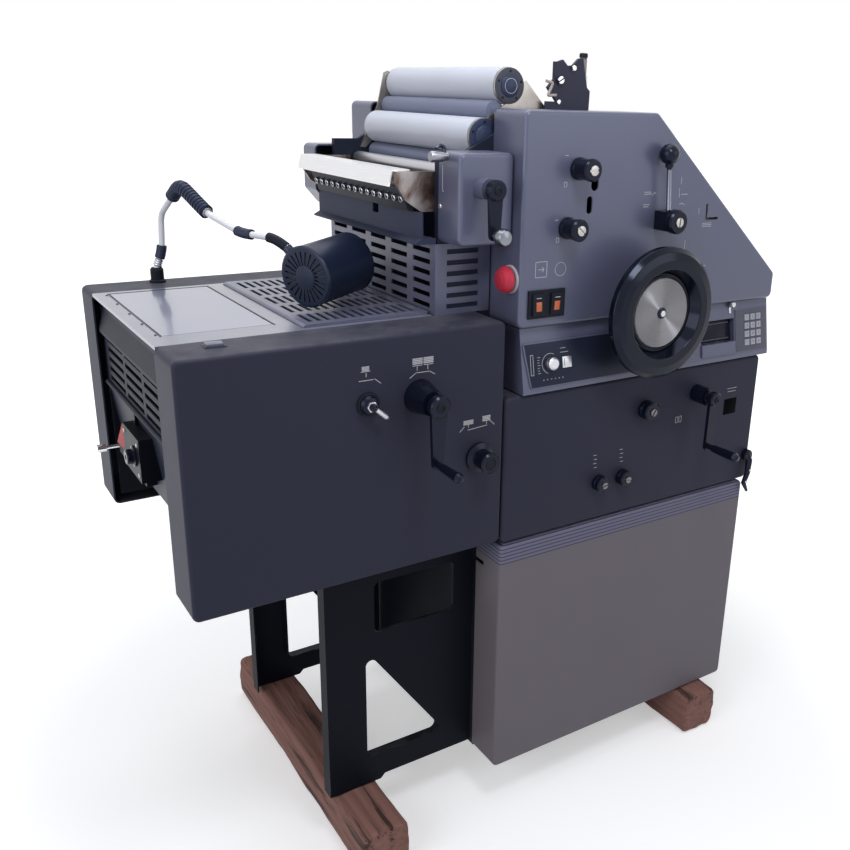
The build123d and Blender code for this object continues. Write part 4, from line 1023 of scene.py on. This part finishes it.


# Ink rollers
# Steel cores covered in grey rubber, ground smooth and stained by ink; the large rollers' pale grey is
# partly the rubber's own and partly painted light. The large ones have a rim with five small holes, drawn
# as matt black discs of painted shade, round a blue hub, and the riders between them are dark.
# Pale rubber colour: partly its own, partly painted light.
rubber = moulded("roller rubber, partly painted light", "roller_rubber", (0.56, 0.58, 0.66), 0.34)
dress(rubber, "top_roller", "middle_roller")
rider = moulded("rider rubber", "roller_rubber", (0.16, 0.18, 0.26), 0.4)
dress(rider, "rider_roller_high", "rider_roller_low")
dress(silver, "fountain_roller")
dress(bare_steel, "roller_brackets")
hub_blue = moulded("hub blue", "black_plastic", (0.03, 0.04, 0.08), 0.4)
rim_look = moulded("rim grey", "roller_rubber", (0.055, 0.057, 0.07), 0.55)
roller_rim = ((19, 0.1), (31, 0.1), (31, 1.2), (29.5, 2), (19, 2))
roller_hub = ((0, 6.2), (12, 6.2), (13.2, 5.4), (13.2, 0.1), (19, 0.1), (19, 3.6), (17, 4.6), (13.6, 5.8))
rim_holes = 5
hole_circle = 25
for name, x, z, rim in (("top_roller", 38, 1375, rim_look), ("middle_roller", -14, 1288, hub_blue)):
    face = front(x, z, 110)
    turned(name + "_rim", face, roller_rim, rim, steps=64, closed=True)
    turned(name + "_hub", face, roller_hub, hub_blue, steps=64)
    # Each hole is a thin matt black disc on the rim: painted shade.
    shape = bmesh.new()
    for k in range(rim_holes):
        a = 2 * pi * k / rim_holes + 0.3
        hole_at = face @ Matrix.Translation((hole_circle * cos(a), hole_circle * sin(a), 2.0))
        lathe(shape, hole_at, ((0, 0.0), (2.4, 0.0), (2.4, 0.3), (0, 0.3)), 20)
    piece(name + "_hole_shade", shape, matt_black)
far_edge = [
    (2, 1396), (12, 1400), (38, 1375), (-14, 1288), (-30, 1255), (-44, 1244), (-55, 1246), (-14, 1330),
]
raised("bracket_edge", front(0, 0, 531.6), far_edge, 3.2, bare_steel)


# Press cylinder
# A steel cylinder turns between the side frames under the hood. Little of it shows, between the slots
# of the end panel and over the feed table.
cylinder = (
    (0, -422), (22, -422), (22, -408), (88, -408), (90, -406), (90, -16), (88, -14), (22, -14), (22, 0),
    (0, 0),
)
cylinder_steel = metal("cylinder steel", "bare_steel", (0.05, 0.05, 0.055), 0.35, stain=0.5)
turned("press_cylinder", front(250, 680, 110), cylinder, cylinder_steel, steps=96)


# Lever plates
# Painted steel plates on the near frame, which carry the feed levers. They hold a pivot screw, two
# smaller screws, a beige link and a spring on the post.
dress(painted("plate paint", "frame_paint", (0.03, 0.03, 0.045), 0.45, gloss=0.2), "lever_plates")
dress(moulded("post beige", "key_plastic", (0.3, 0.25, 0.24), 0.5), "plate_post")
shape = bmesh.new()
slotted_screw(shape, front(141.6, 1388.4, 96), 6.5, 30, 3)
slotted_screw(shape, front(140.8, 1350.2, 98), 4, -30, 2)
slotted_screw(shape, front(172.5, 1410.3, 98), 4.5, 70, 2.5)
piece("plate_screws", shape, plated)
link = bend([(108, 95, 1386), (124, 95, 1383), (113, 95, 1361), (132, 95, 1362)], 4)
rod("plate_link", link, 2.6, moulded("link beige", "key_plastic", (0.4, 0.35, 0.33), 0.5), 12)
post_x, post_y = 204.5, 112
spring_radius, spring_foot, spring_height, spring_turns = 8, 1378, 20, 6
turn_steps = 16
coil = []
for k in range(turn_steps * spring_turns + 1):
    a = 2 * pi * k / turn_steps
    rise = spring_height * a / (2 * pi * spring_turns)
    coil.append((post_x + spring_radius * cos(a), post_y + spring_radius * sin(a), spring_foot + rise))
rod("plate_spring", coil, 1.1, silver, 8)
raised("post_cap", Matrix.Translation((post_x, post_y, 1430)), arc(0, 0, 8, 0, 345, 23), 7, matt_black, 1.5)
